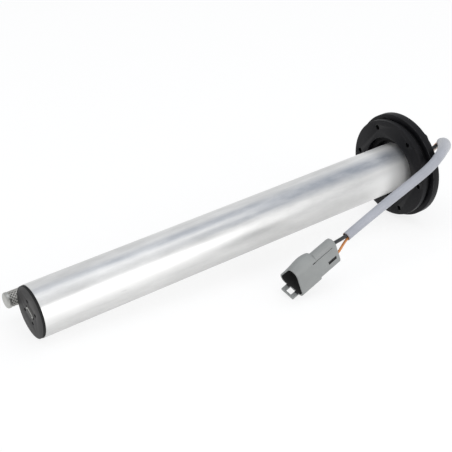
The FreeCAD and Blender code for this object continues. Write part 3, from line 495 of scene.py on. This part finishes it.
class Finishes:
    """Every finish of the sender, built once each."""

    LIST: Tuple[Finish, ...] = (
        DrawnTube("bright_aluminium", (0.84, 0.837, 0.825), rough=0.36, rough_spread=0.05,
                  metal=0.45, relief=0.12),
        CapFace("black_plastic", (0.034, 0.033, 0.033), rough=0.55, grain=0.4, relief=0.2,
                sheen_level=0.3),
        WornBlack("black_coated_metal", (0.006, 0.006, 0.0075), rough=0.45, grain=0.35,
                  relief=0.12, sheen_level=0.17),
        Finish("black_rubber", (0.008, 0.008, 0.009), rough=0.7, grain=0.3, relief=0.2,
               sheen_level=0.15),
        # painted shade: the cap rim's darker side, the shadow in its vents and slot, and the wedge lock deep in
        # the mouth
        Finish("painted_shade_black", (0.02, 0.02, 0.02), rough=0.7, sheen_level=0.15),
        # painted shade for the shadowed inside of the connector's mouth and its side marks
        Finish("socket_shade", (0.05, 0.05, 0.05), rough=0.7, sheen_level=0.15),
        Finish("white_plastic", (0.78, 0.76, 0.70), tone=0.05, rough=0.4, relief=0.05),
        Finish("float_foam", (0.045, 0.045, 0.045), rough=0.85, grain=0.8, relief=0.6),
        Finish("zinc_steel", (0.62, 0.62, 0.60), rough=0.35, metal=1.0, relief=0.1),
        Finish("stainless_steel", (0.70, 0.70, 0.68), tone=0.06, rough=0.25, metal=1.0,
               relief=0.05),
        Finish("dull_steel", (0.46, 0.46, 0.44), tone=0.12, tone_size=4.0, rough=0.38,
               metal=0.8, relief=0.1),
        Finish("woven_steel", (0.64, 0.63, 0.6), tone=0.15, tone_size=5.0, rough=0.42,
               metal=0.3, relief=0.1),
        Finish("cloth_shadow", (0.2, 0.193, 0.18), tone=0.2, tone_size=3.0, rough=0.6),
        Finish("brass", (0.72, 0.52, 0.22), rough=0.3, metal=1.0, relief=0.05),
        Finish("board_laminate", (0.05, 0.14, 0.06), rough=0.45, grain=0.6, relief=0.1),
        Finish("lavender_sleeve", (0.40, 0.412, 0.455), tone=0.08, tone_size=20.0, rough=0.42,
               grain=0.9, relief=0.08, coat=0.15),
        Finish("sleeve_lip", (0.60, 0.46, 0.45), tone=0.05, rough=0.5),
        Finish("sleeve_inside", (0.03, 0.03, 0.035), tone=0.05, rough=0.6),
        Finish("black_insulation", (0.022, 0.024, 0.026), tone=0.1, rough=0.38, relief=0.05),
        Finish("orange_insulation", (0.62, 0.25, 0.075), tone=0.1, rough=0.4, relief=0.05),
        Finish("white_insulation", (0.75, 0.62, 0.55), tone=0.06, rough=0.4, relief=0.05),
        Finish("grey_plastic", (0.30, 0.31, 0.305), tone=0.06, rough=0.48, grain=0.25,
               relief=0.12),
        Finish("orange_seal", (0.55, 0.16, 0.05), tone=0.08, rough=0.6),
    )

    def __init__(self) -> None:
        """Build the materials."""
        self.made = {finish.name: finish.material() for finish in self.LIST}

    def dress(self, piece: bpy.types.Object, *names: str) -> bpy.types.Object:
        """Give a piece its materials.

        Args:
            piece: a mesh object.
            names: finishes, one for each material slot.

        Returns:
            The same piece.
        """
        slots = piece.data.materials
        slots.clear()
        for name in names:
            slots.append(self.made[name])
        return piece


class Sender:
    """The sender's own frame: its axis, its up and its near side, where it lies."""

    tube_outer: float = 40.0
    cap_rim: float = 2.0
    tilt: float = lay_turn()
    start: float = -184.99

    @classmethod
    def height(cls) -> float:
        """Height of the end cap's centre above the floor, in millimetres."""
        return cls.tube_outer / 2 * math.cos(cls.tilt) - cls.cap_rim * math.sin(cls.tilt)

    @classmethod
    def point(cls, along: float, up: float, near: float) -> Vector:
        """Place in metres of a point given in the sender's own frame, in millimetres."""
        lean, rise = math.sin(cls.tilt), math.cos(cls.tilt)
        return Vector((cls.start + along * rise - up * lean, -near,
                       cls.height() + along * lean + up * rise)) * MM

    @classmethod
    def axis(cls) -> Vector:
        """Direction of the sender's axis, from the end cap to the head."""
        return Vector((math.cos(cls.tilt), 0, math.sin(cls.tilt)))

    @classmethod
    def matrix(cls, along: float, up: float, near: float) -> Matrix:
        """Frame with Z along the sender's axis at a point, in metres."""
        side = Vector((-math.sin(cls.tilt), 0, math.cos(cls.tilt)))
        turn = Matrix((side, cls.axis().cross(side), cls.axis())).transposed().to_4x4()
        return Matrix.Translation(cls.point(along, up, near)) @ turn


def placed(name: str, data: object) -> bpy.types.Object:
    """A new object in the scene, with its mesh, curve, light or camera."""
    made = bpy.data.objects.new(name, data)
    bpy.context.scene.collection.objects.link(made)
    return made


def mesh_piece(name: str, shape: bmesh.types.BMesh, smooth: float = 35.0) -> bpy.types.Object:
    """Turn a bmesh into a scene object.

    Args:
        name: the piece's name.
        shape: the bmesh, which is freed.
        smooth: faces that meet under this angle, in degrees, shade smoothly.

    Returns:
        The new object, at the origin.
    """
    data = bpy.data.meshes.new(name)
    shape.to_mesh(data)
    shape.free()
    data.shade_smooth()
    data.set_sharp_from_angle(angle=math.radians(smooth))
    return placed(name, data)


def softened(node: str, width: float, segments: int = 2) -> bpy.types.Object:
    """A copy of a CAD node with its sharp edges rounded.

    Args:
        node: the CAD node's name.
        width: the rounding's width in millimetres.
        segments: steps across the rounding.

    Returns:
        The copy, which replaces the node.
    """
    shape = bmesh.new()
    shape.from_mesh(frame["nodes"][node].data)
    bmesh.ops.remove_doubles(shape, verts=shape.verts[:], dist=WELD)
    bmesh.ops.dissolve_limit(shape, angle_limit=FLAT_ANGLE, verts=shape.verts[:],
                             edges=shape.edges[:])
    sharp = [edge for edge in shape.edges
             if len(edge.link_faces) == 2 and edge.calc_face_angle() > SHARP_ANGLE]
    bmesh.ops.bevel(shape, geom=sharp, offset=width * MM, offset_type="OFFSET",
                    affect="EDGES", segments=segments, profile=0.5, material=-1,
                    clamp_overlap=True)
    piece = mesh_piece(node + "_soft", shape)
    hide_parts(node)
    body = next(name for name, nodes in frame["record"]["behaviour"]["bodies"].items()
                if node in nodes)
    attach(piece, body)
    return piece


class Side(Enum):
    """Direction of a helical wire round the strainer."""

    LEFT = -1
    RIGHT = 1


@dataclass
class Strainer:
    """Woven strainer beside the tube: two sets of helical wires over a darker core, a painted shade for the shadow
    inside the cloth.
    """

    offset: float = 26.2
    turn: float = -91.5
    radius: float = 5.45
    foot: float = -6.0
    top: float = 31.5
    wires: int = 14
    wire: float = 0.56
    wire_corners: int = 5
    wire_steps: int = 40
    wire_lift: float = 0.18
    pitch: float = 34.0
    smooth: float = 80.0
    core_gap: float = 0.35
    core_corners: int = 32
    cup_outer: float = 12.0
    cup_wall: float = 0.3
    cup_floor: float = 1.0
    cup_height: float = 3.0
    cup_round: float = 1.4
    cup_foot: float = -7.0
    cup_steps: int = 64
    cup_weld: float = 0.000005
    round_steps: int = 6

    def frame_at(self, along: float) -> Matrix:
        """Frame on the strainer's own axis."""
        angle = math.radians(self.turn)
        return Sender.matrix(along, self.offset * math.cos(angle),
                             self.offset * math.sin(angle))

    def _set_of_wires(self, shape: bmesh.types.BMesh, side: Side) -> None:
        """Add one set of parallel helical wires.

        Args:
            shape: the mesh they are added to.
            side: the way they turn.
        """
        length = self.top - self.foot
        swing = side.value * 2 * math.pi * length / self.pitch
        lift = self.wire * self.wire_lift * side.value
        for number in range(self.wires):
            angle = 2 * math.pi * number / self.wires
            ring = bmesh.ops.create_circle(shape, cap_ends=False, segments=self.wire_corners,
                                           radius=self.wire / 2 * MM)["verts"]
            lean = math.atan2(2 * math.pi * self.radius, self.pitch) * -side.value
            turn = (Matrix.Rotation(angle, 4, "Z")
                    @ Matrix.Translation(((self.radius + lift) * MM, 0, 0))
                    @ Matrix.Rotation(lean, 4, "X"))
            bmesh.ops.transform(shape, matrix=turn, verts=ring)
            edges = list({edge for vert in ring for edge in vert.link_edges})
            bmesh.ops.spin(shape, geom=ring + edges, cent=(0, 0, 0), axis=(0, 0, 1),
                           dvec=(0, 0, length * MM / self.wire_steps), angle=swing,
                           steps=self.wire_steps, use_duplicate=False)

    def _end_band(self) -> bpy.types.Object:
        """The cup that closes the foot, turned with a generous outer rounding."""
        outer = self.cup_outer / 2
        inner = outer - self.cup_wall
        profile = [(0.0, 0.0), (outer - self.cup_round, 0.0)]
        for step in range(1, self.round_steps + 1):
            angle = math.pi / 2 * step / self.round_steps
            profile.append((outer - self.cup_round * (1 - math.sin(angle)),
                            self.cup_round * (1 - math.cos(angle))))
        profile += [(outer, self.cup_height - self.cup_wall),
                    (outer - self.cup_wall / 2, self.cup_height), (inner, self.cup_height),
                    (inner, self.cup_round), (0.0, self.cup_floor)]
        shape = bmesh.new()
        verts = [shape.verts.new((reach * MM, 0, rise * MM)) for reach, rise in profile]
        edges = [shape.edges.new(pair) for pair in zip(verts, verts[1:])]
        bmesh.ops.spin(shape, geom=verts + edges, cent=(0, 0, 0), axis=(0, 0, 1),
                       angle=2 * math.pi, steps=self.cup_steps, use_merge=True,
                       use_duplicate=False)
        bmesh.ops.remove_doubles(shape, verts=shape.verts[:], dist=self.cup_weld)
        bmesh.ops.recalc_face_normals(shape, faces=shape.faces[:])
        bmesh.ops.transform(shape, matrix=self.frame_at(self.cup_foot), verts=shape.verts[:])
        band = mesh_piece("strainer_end_band", shape)
        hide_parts("strainer_end_cap")
        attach(band, SENDER)
        return band

    def build(self, finishes: Finishes) -> None:
        """Make the cloth, its darker core of painted shade and the cup."""
        shape = bmesh.new()
        for side in Side:
            self._set_of_wires(shape, side)
        bmesh.ops.transform(shape, matrix=self.frame_at(self.foot), verts=shape.verts[:])
        bmesh.ops.recalc_face_normals(shape, faces=shape.faces[:])
        cloth = mesh_piece("strainer_wire_cloth", shape, self.smooth)
        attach(cloth, SENDER)
        finishes.dress(cloth, "woven_steel")

        # painted shade: a dark cylinder inside the cloth that stands for the shadow within it
        core = bmesh.new()
        core_radius = (self.radius - self.core_gap) * MM
        bmesh.ops.create_cone(core, cap_ends=True, segments=self.core_corners,
                              radius1=core_radius, radius2=core_radius,
                              depth=(self.top - self.foot) * MM)
        middle = self.frame_at((self.top + self.foot) / 2)
        bmesh.ops.transform(core, matrix=middle, verts=core.verts[:])
        inner = mesh_piece("strainer_shade_core", core)
        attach(inner, SENDER)
        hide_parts("strainer_mesh")
        finishes.dress(inner, "cloth_shadow")

        band = self._end_band()
        finishes.dress(band, "dull_steel")


class Plug:
    """The connector's own frame: rear face at the start, mouth at the end, rolled aside."""

    rear: Triple = (35.8, -62.1, 28.2)
    heading: Triple = (-0.935, -0.069, -0.348)
    roll: float = -22.0
    length: float = 41.5
    mouth_depth: float = 18.0
    hump_rise: float = 2.2
    shoulder: float = 21.5
    cuts: Tuple[float, ...] = (1.0, 2.2, 3.6, 22.5, 24.0, 26.0, 28.5, 31.0, 33.5, 36.0,
                               38.5, 40.2)
    crown: Span = (2.0, 8.0)
    crown_swell: float = 1.7
    swell_bias: float = 0.8
    swell_span: Span = (3.0, -2.0)
    swell_way: Span = (-0.6, 0.8)
    end_round: float = 3.8
    end_crown: Span = (9.0, 12.0)
    end_share: float = 0.55
    shade_reach: float = 1.3
    shade_gap: float = 0.5
    floor_gap: float = 5.0
    inward_limit: float = -0.3
    floor_limit: float = 0.9
    side_lean: float = 21.7
    side_reach: float = 7.8
    side_foot: float = 5.7
    marks_rise: Span = (0.5, 15.7)
    marks_run: Span = (1.0, 26.5)
    marks_depth: Span = (0.25, 1.25)
    first_cavity: float = 90.0
    cavity_step: float = 120.0
    cavity_offset: float = 5.8
    cavity_rise: float = 1.2
    tail: Tuple[Span, ...] = ((3.0, 1.0), (-3.0, 0.95), (-9.5, 0.55))

    @classmethod
    def axes(cls) -> Tuple[Vector, Vector, Vector]:
        """Side, up and heading of the connector."""
        heading = Vector(cls.heading).normalized()
        side = Vector((0, 0, 1)).cross(heading).normalized()
        upward = heading.cross(side)
        turn = math.radians(cls.roll)
        return (side * math.cos(turn) + upward * math.sin(turn),
                upward * math.cos(turn) - side * math.sin(turn), heading)

    @classmethod
    def point(cls, x: float, y: float, z: float) -> Vector:
        """Place in millimetres of a point in the connector's frame."""
        side, upward, heading = cls.axes()
        return Vector(cls.rear) + side * x + upward * y + heading * z

    @classmethod
    def angle(cls, number: int) -> float:
        """Angle of one contact cavity about the section's middle, in radians."""
        return math.radians(cls.first_cavity + cls.cavity_step * number)

    @classmethod
    def way(cls, number: int) -> Vector:
        """Direction from the section's middle to one contact cavity."""
        side, upward, _ = cls.axes()
        angle = cls.angle(number)
        return side * math.cos(angle) + upward * math.sin(angle)

    @classmethod
    def cavity(cls, number: int, depth: float, spread: float) -> Vector:
        """Point on one cavity's line, drawn towards the middle by a spread under 1."""
        x = cls.cavity_offset * math.cos(cls.angle(number))
        y = cls.cavity_rise + cls.cavity_offset * math.sin(cls.angle(number))
        return cls.point(x * spread, y * spread, depth)

    @classmethod
    def cut(cls, mesh: bmesh.types.BMesh, height: float) -> None:
        """Cut the housing's faces straight across, at a height over its rear face."""
        bmesh.ops.bisect_plane(mesh, geom=mesh.verts[:] + mesh.edges[:] + mesh.faces[:],
                               dist=FINE_WELD, plane_co=cls.point(0, 0, height) * MM,
                               plane_no=cls.axes()[2])

    @classmethod
    def swell(cls, shape: bpy.types.Object) -> None:
        """Swell the shroud's crown between its ends and round the rear end's crown.

        Args:
            shape: the housing.
        """
        mesh = bmesh.new()
        mesh.from_mesh(shape.data)
        side, upward, heading = cls.axes()
        swell_way = side * cls.swell_way[0] + upward * cls.swell_way[1]
        for height in cls.cuts:
            cls.cut(mesh, height)
        for vert in mesh.verts:
            reach = vert.co / MM - Vector(cls.rear)
            x, y, z = reach.dot(side), reach.dot(upward), reach.dot(heading)
            if z > cls.shoulder:
                share = (z - cls.shoulder) / (cls.length - cls.shoulder)
                rise = cls.crown_swell * math.sin(math.pi * share ** cls.swell_bias)
                rise *= part_way(y, *cls.crown) * part_way(x, *cls.swell_span)
                vert.co += swell_way * rise * MM
            elif z < cls.end_round:
                left = cls.end_round - z
                drop = cls.end_round - math.sqrt(max(0.0, cls.end_round ** 2 - left ** 2))
                vert.co -= upward * drop * cls.end_share * part_way(y, *cls.end_crown) * MM
        mesh.to_mesh(shape.data)
        mesh.free()

    @classmethod
    def darken_socket(cls, shape: bpy.types.Object) -> None:
        """Give the mouth's inside, the tongue's root and the two side marks the second finish, a painted shade for
        the shadow in these recesses.

        Args:
            shape: the housing, whose two finishes are already on it.
        """
        mesh = bmesh.new()
        mesh.from_mesh(shape.data)
        side, upward, heading = cls.axes()
        start = cls.point(0, cls.hump_rise, 0) * MM
        shade_start = cls.length - cls.mouth_depth - cls.shade_gap
        shade_end = cls.length + cls.shade_reach
        cls.cut(mesh, shade_end)
        lean = math.radians(cls.side_lean)
        near = side * math.cos(lean) + upward * math.sin(lean)
        climb = upward * math.cos(lean) - side * math.sin(lean)
        low, high = cls.marks_rise
        shallow, deep = cls.marks_depth
        first, last = cls.marks_run
        for face in mesh.faces:
            reach = face.calc_center_median() - start
            depth = reach.dot(heading) / MM
            outward = reach - heading * reach.dot(heading)
            inward = face.normal.dot(outward.normalized()) < cls.inward_limit
            facing_out = face.normal.dot(heading) > cls.floor_limit
            floor = facing_out and depth < cls.length - cls.floor_gap
            place = face.calc_center_median() / MM - Vector(cls.rear)
            sunk = cls.side_reach - place.dot(near)
            flank = low < place.dot(climb) + cls.side_foot < high
            mark = flank and shallow < sunk < deep and first < depth < last
            # painted shade: faces deep in the mouth, the tongue's root and the walls of the slit and pocket
            if mark or (shade_start < depth < shade_end and (inward or floor)):
                face.material_index = 1
        mesh.to_mesh(shape.data)
        mesh.free()


@dataclass
class Lead:
    """Sleeve and three wires, on smooth curves that keep close to the solids' route."""

    head: Tuple[Triple, ...] = (
        (150.9, -8.3, 47.7), (177.4, -8.3, 49.7), (188.3, -7.3, 51.4), (197.1, -7.2, 53.7))
    route: Tuple[Triple, ...] = (
        (201.6, -10.2, 59.4), (200.9, -13.2, 60.4), (198.4, -17.5, 61.2),
        (190.8, -25.1, 63.6), (173.5, -39.5, 69.4), (158.0, -50.9, 72.0),
        (144.0, -54.8, 66.3), (121.0, -56.0, 57.9), (97.0, -57.5, 50.1),
        (75.0, -58.9, 42.3), (62.0, -60.0, 37.8), (51.2, -60.9, 34.0))
    swell: Tuple[float, ...] = (0.95, 1.15, 1.42, 1.5, 1.22, 1.08, 1.05, 1.03, 1.0,
                                0.95, 0.92, 0.92)
    bundle_offset: float = 1.45
    twist: float = 22.5
    sleeve_outer: float = 7.6
    sleeve_wall: float = 0.5
    thick_wire: float = 2.9
    thin_wire: float = 2.0
    curve_order: int = 3
    curve_steps: int = 12
    skin_steps: int = 7
    smooth: float = 50.0

    @staticmethod
    def beside(points: Sequence[Vector], offset: Vector, twist: float) -> List[Vector]:
        """The same route shifted sideways by a vector that turns with the route.

        Args:
            points: the middle route.
            offset: the shift at its first point.
            twist: the turn about the route at each corner, in degrees.

        Returns:
            The shifted points.
        """
        shift = offset.copy()
        shifted = [points[0] + shift]
        for before, corner, after in zip(points, points[1:], points[2:]):
            arrive = (corner - before).normalized()
            leave = (after - corner).normalized()
            turned = Quaternion(leave, math.radians(twist)) @ (
                arrive.rotation_difference(leave) @ shift)
            slide = turned.dot(arrive) / (1 + arrive.dot(leave))
            shifted.append(corner + shift + arrive * slide)
            shift = turned
        shifted.append(points[-1] + shift)
        return shifted

    def wire_route(self, number: int) -> List[Vector]:
        """Control points of one wire from the head to the connector, in millimetres."""
        bundle = [Vector(point) for point in reversed(self.head + self.route)]
        run = (bundle[1] - bundle[0]).normalized()
        outward = Plug.way(number)
        outward = (outward - run * outward.dot(run)).normalized()
        points = [Plug.cavity(number, depth, spread) for depth, spread in Plug.tail]
        points += self.beside(bundle, outward * self.bundle_offset, self.twist)
        return list(reversed(points))

    @classmethod
    def tube(cls, name: str, points: Sequence[Vector], diameter: float, capped: bool = True,
             swell: Sequence[float] = ()) -> Tuple[bpy.types.Object, List[Vector]]:
        """A round cord on a smooth curve with the route's points as control points.

        Args:
            name: the piece's name.
            points: control points in millimetres.
            diameter: the cord's diameter in millimetres.
            capped: whether its ends are closed.
            swell: times the diameter at each control point, where it isn't even.

        Returns:
            The mesh piece and the points of its centre line, in metres.
        """
        data = bpy.data.curves.new(name, "CURVE")
        data.dimensions = "3D"
        line = data.splines.new("NURBS")
        line.points.add(len(points) - 1)
        for control, point in zip(line.points, points):
            control.co = (*(point * MM), 1.0)
        for control, times in zip(line.points, swell):
            control.radius = times
        line.order_u = cls.curve_order
        line.use_endpoint_u = True
        line.resolution_u = cls.curve_steps
        carrier = placed(name + "_line", data)
        centre = cls.drawn(carrier)
        path = [vertex.co.copy() for vertex in centre.vertices]
        bpy.data.meshes.remove(centre)
        data.bevel_depth = diameter / 2 * MM
        data.bevel_resolution = cls.skin_steps
        data.use_fill_caps = capped
        skin = cls.drawn(carrier)
        skin.name = name
        bpy.data.objects.remove(carrier)
        shape = bmesh.new()
        shape.from_mesh(skin)
        bmesh.ops.remove_doubles(shape, verts=shape.verts[:], dist=FINE_WELD)
        bmesh.ops.recalc_face_normals(shape, faces=shape.faces[:])
        piece = mesh_piece(name, shape, cls.smooth)
        bpy.data.meshes.remove(skin)
        return piece, path

    @staticmethod
    def drawn(carrier: bpy.types.Object) -> bpy.types.Mesh:
        """The mesh that Blender draws for a curve."""
        bpy.context.view_layer.update()
        graph = bpy.context.evaluated_depsgraph_get()
        return bpy.data.meshes.new_from_object(carrier.evaluated_get(graph))

    @staticmethod
    def length(path: Sequence[Vector]) -> float:
        """Length of a line of points, in metres."""
        return sum((after - before).length for before, after in zip(path, path[1:]))

    def build(self, finishes: Finishes) -> None:
        nodes = frame["nodes"]
        housing = bpy.data.objects["connector_housing_soft"]
        wires = (("black_wire", self.thick_wire, "black_insulation", [housing]),
                 ("white_wire", self.thin_wire, "white_insulation", [nodes["wire_seals"]]),
                 ("orange_wire", self.thin_wire, "orange_insulation",
                  [nodes["terminal_pins"], nodes["wedge_lock"]]))
        for number, (name, diameter, finish, plug_parts) in enumerate(wires):
            route = self.wire_route(number)
            cord, path = self.tube(name + "_cord", route, diameter)
            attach(cord, SENDER)
            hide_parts(name)
            finishes.dress(cord, finish)
            route[0] * MM
            self.length(path)

        route = [Vector(point) for point in self.route]
        sleeve, path = self.tube("cable_sleeve_cord", route, self.sleeve_outer,
                                 capped=False, swell=self.swell)
        wall = sleeve.modifiers.new("wall", "SOLIDIFY")
        wall.thickness = self.sleeve_wall * MM
        wall.offset = -1
        wall.use_rim = True
        wall.material_offset = 1
        wall.material_offset_rim = 2
        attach(sleeve, SENDER)
        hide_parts("cable_sleeve")
        finishes.dress(sleeve, "lavender_sleeve", "sleeve_inside", "sleeve_lip")
        route[0] * MM
        self.length(path)


class Solids:
    """The CAD solids: most keep their shape and get a finish, five get rounded edges."""

    kept: Dict[str, str] = {
        "outer_tube": "bright_aluminium", "wire_clip": "dull_steel",
        "guide_rod": "stainless_steel", "resistance_wires": "stainless_steel",
        "lower_bumper": "black_rubber", "upper_stop": "white_plastic",
        "float": "float_foam", "float_carrier": "white_plastic",
        "float_retainer": "zinc_steel", "contact_spring": "brass",
        "flange_gasket": "black_rubber", "screw_washers": "black_coated_metal",
        "terminal_board": "board_laminate", "wire_anchors": "brass",
        "suction_pipe": "bright_aluminium", "strainer_ferrule": "stainless_steel",
        # the wedge lock deep in the mouth is given the painted shade black
        "wire_seals": "orange_seal", "terminal_pins": "brass", "wedge_lock": "painted_shade_black",
        "wire_grommet": "black_rubber", "pipe_collar": "zinc_steel"}
    rounded: Dict[str, Tuple[str, float]] = {
        "end_cap": ("black_plastic", 0.45), "flange_plate": ("black_coated_metal", 0.3),
        "clamp_ring": ("black_coated_metal", 0.2), "flange_screws": ("black_coated_metal", 0.25),
        "connector_housing": ("grey_plastic", 0.4)}
    holes_reach: float = 14.0
    hole_limit: float = 0.97
    rim_limit: float = 0.5

    def darken_walls(self, cap: bpy.types.Object) -> None:
        """Give the walls of the cap's rim, holes and slot the second finish, a painted shade for the rim's darker
        side and the shadow in the holes and slot.

        Args:
            cap: the end cap, whose two finishes are already on it.
        """
        mesh = bmesh.new()
        mesh.from_mesh(cap.data)
        foot = Sender.point(0.0, 0.0, 0.0)
        along = Sender.axis()
        for face in mesh.faces:
            reach = face.calc_center_median() - foot
            off_axis = (reach - along * reach.dot(along)).length
            limit = self.hole_limit if off_axis < self.holes_reach * MM else self.rim_limit
            # painted shade on the rim's side and on the walls of the holes and slot
            if abs(face.normal.dot(along)) < limit:
                face.material_index = 1
        mesh.to_mesh(cap.data)
        mesh.free()

    def build(self, finishes: Finishes) -> None:
        """Dress the kept solids and round the edges of the others."""
        for name, finish in self.kept.items():
            finishes.dress(frame["nodes"][name], finish)
        for name, (finish, width) in self.rounded.items():
            piece = softened(name, width)
            finishes.dress(piece, finish)
        cap = bpy.data.objects["end_cap_soft"]
        # second finish: painted shade on the cap's walls
        finishes.dress(cap, "black_plastic", "painted_shade_black")
        self.darken_walls(cap)
        housing = bpy.data.objects["connector_housing_soft"]
        finishes.dress(housing, "grey_plastic", "socket_shade")
        Plug.swell(housing)
        # painted shade in the connector's mouth and side marks
        Plug.darken_socket(housing)


@dataclass(frozen=True)
class Panel:
    """A soft light panel: centre, target and size in metres, and power in watts."""

    name: str
    place: Triple
    target: Triple
    size: Span
    power: float

    def build(self) -> None:
        """Make the light."""
        data = bpy.data.lights.new(self.name, "AREA")
        data.shape = "RECTANGLE"
        data.size, data.size_y = self.size
        data.energy = self.power
        lamp = placed(self.name, data)
        lamp.location = self.place
        lamp.rotation_mode = "QUATERNION"
        facing = Vector(self.target) - Vector(self.place)
        lamp.rotation_quaternion = facing.to_track_quat("-Z", "Y")


@dataclass
class Studio:
    """Floor, soft lights and the camera at the photograph's viewing angle."""

    place: Triple = (-425.99, -574.33, 393.74)
    azimuth: float = -35.38
    elevation: float = 26.77
    focal_pixels: float = 1024.75
    frame_pixels: float = 452.0
    sensor: float = 36.0
    clip: Span = (0.01, 50.0)
    floor_size: float = 6.0
    floor_drop: float = 0.0002
    floor_tone: Colour = (0.86, 0.86, 0.86)
    glow_tone: Colour = (1.0, 1.0, 1.0)
    glow_strength: float = 1.1
    glow_share: float = 0.72
    wall_tones: Tuple[Tuple[float, Colour], ...] = (
        (0.0, (0.88, 0.88, 0.88)), (0.5, (0.80, 0.81, 0.82)),
        (0.8, (0.74, 0.76, 0.79)), (1.0, (0.68, 0.71, 0.76)))
    front_tone: Colour = (0.86, 0.86, 0.86)
    front_height: float = 0.35
    front_span: Span = (0.05, 0.6)
    wall_strength: float = 0.9
    panels: Tuple[Panel, ...] = (
        Panel("front_panel", (0.15, -1.0, 0.35), (-0.05, 0.0, 0.05), (0.6, 0.5), 2.6),
        Panel("top_panel", (-0.1, -0.02, 1.2), (-0.1, 0.0, 0.0), (1.4, 0.7), 2.6))

    def camera(self) -> None:
        """Make the camera."""
        data = bpy.data.cameras.new("camera")
        data.sensor_width = self.sensor
        data.lens = self.sensor * self.focal_pixels / self.frame_pixels
        data.clip_start, data.clip_end = self.clip
        turn, lift = math.radians(self.azimuth), math.radians(self.elevation)
        back = Vector((math.sin(turn) * math.cos(lift), -math.cos(turn) * math.cos(lift),
                       math.sin(lift)))
        camera = placed("camera", data)
        camera.location = Vector(self.place) * MM
        camera.rotation_mode = "QUATERNION"
        camera.rotation_quaternion = (-back).to_track_quat("-Z", "Y")
        bpy.context.scene.camera = camera

    def floor(self) -> None:
        """A pale floor that shows white and keeps a faint shadow."""
        shape = bmesh.new()
        bmesh.ops.create_grid(shape, x_segments=1, y_segments=1, size=self.floor_size)
        bmesh.ops.translate(shape, verts=shape.verts[:], vec=(0, 0, -self.floor_drop))
        floor = mesh_piece("floor", shape)
        made = bpy.data.materials.new("pale_floor")
        made.use_nodes = True
        graph = Graph(made.node_tree)
        ray = graph.node("ShaderNodeLightPath")
        seen = Field(graph, ray.outputs["Is Camera Ray"])
        for kind in ("Is Glossy Ray", "Is Transmission Ray"):
            seen = seen + Field(graph, ray.outputs[kind])
        share = graph.clamp(seen, 0.0, 1.0, 0.0, self.glow_share)
        matt = graph.node("ShaderNodeBsdfDiffuse", {}, {"Color": self.floor_tone})
        glow = graph.node("ShaderNodeEmission", {},
                          {"Color": self.glow_tone, "Strength": self.glow_strength})
        both = graph.node("ShaderNodeMixShader", {},
                          {0: share, 1: matt.outputs[0], 2: glow.outputs[0]})
        graph.node("ShaderNodeOutputMaterial", {}, {"Surface": both.outputs[0]})
        floor.data.materials.append(made)

    def world(self) -> None:
        """Pale studio walls, greyer overhead and evenly pale behind the camera."""
        world = bpy.data.worlds.new("studio")
        world.use_nodes = True
        graph = Graph(world.node_tree)
        way = graph.node("ShaderNodeTexCoord").outputs["Generated"]
        _, depth, rise = graph.parts(way)
        tone = graph.node("ShaderNodeValToRGB", {"stops": self.wall_tones},
                          {"Fac": graph.clamp(rise, 0.0, 1.0)})
        off_height = graph.maths("ABSOLUTE", rise - self.front_height)
        front = graph.clamp(depth * -1 - off_height, *self.front_span)
        walls = graph.mix(front, tone.outputs["Color"], self.front_tone)
        back = graph.node("ShaderNodeBackground", {},
                          {"Color": walls, "Strength": self.wall_strength})
        graph.node("ShaderNodeOutputWorld", {}, {"Surface": back.outputs[0]})
        bpy.context.scene.world = world

    def build(self) -> None:
        """Make the whole studio."""
        self.camera()
        self.floor()
        self.world()
        for panel in self.panels:
            panel.build()
        bpy.context.scene.view_settings.view_transform = "Standard"


def main() -> None:
    """Build the studio and every piece."""
    logging.basicConfig(level=logging.INFO, format="%(message)s")
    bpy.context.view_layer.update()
    studio = Studio()
    studio.build()
    finishes = Finishes()
    steps: Tuple[Tuple[str, Callable[[Finishes], None]], ...] = (
        ("solids", Solids().build), ("lead", Lead().build), ("strainer", Strainer().build))
    for name, build in steps:
        build(finishes)
        LOG.info("built %s", name)


if __name__ == "__main__":
    main()
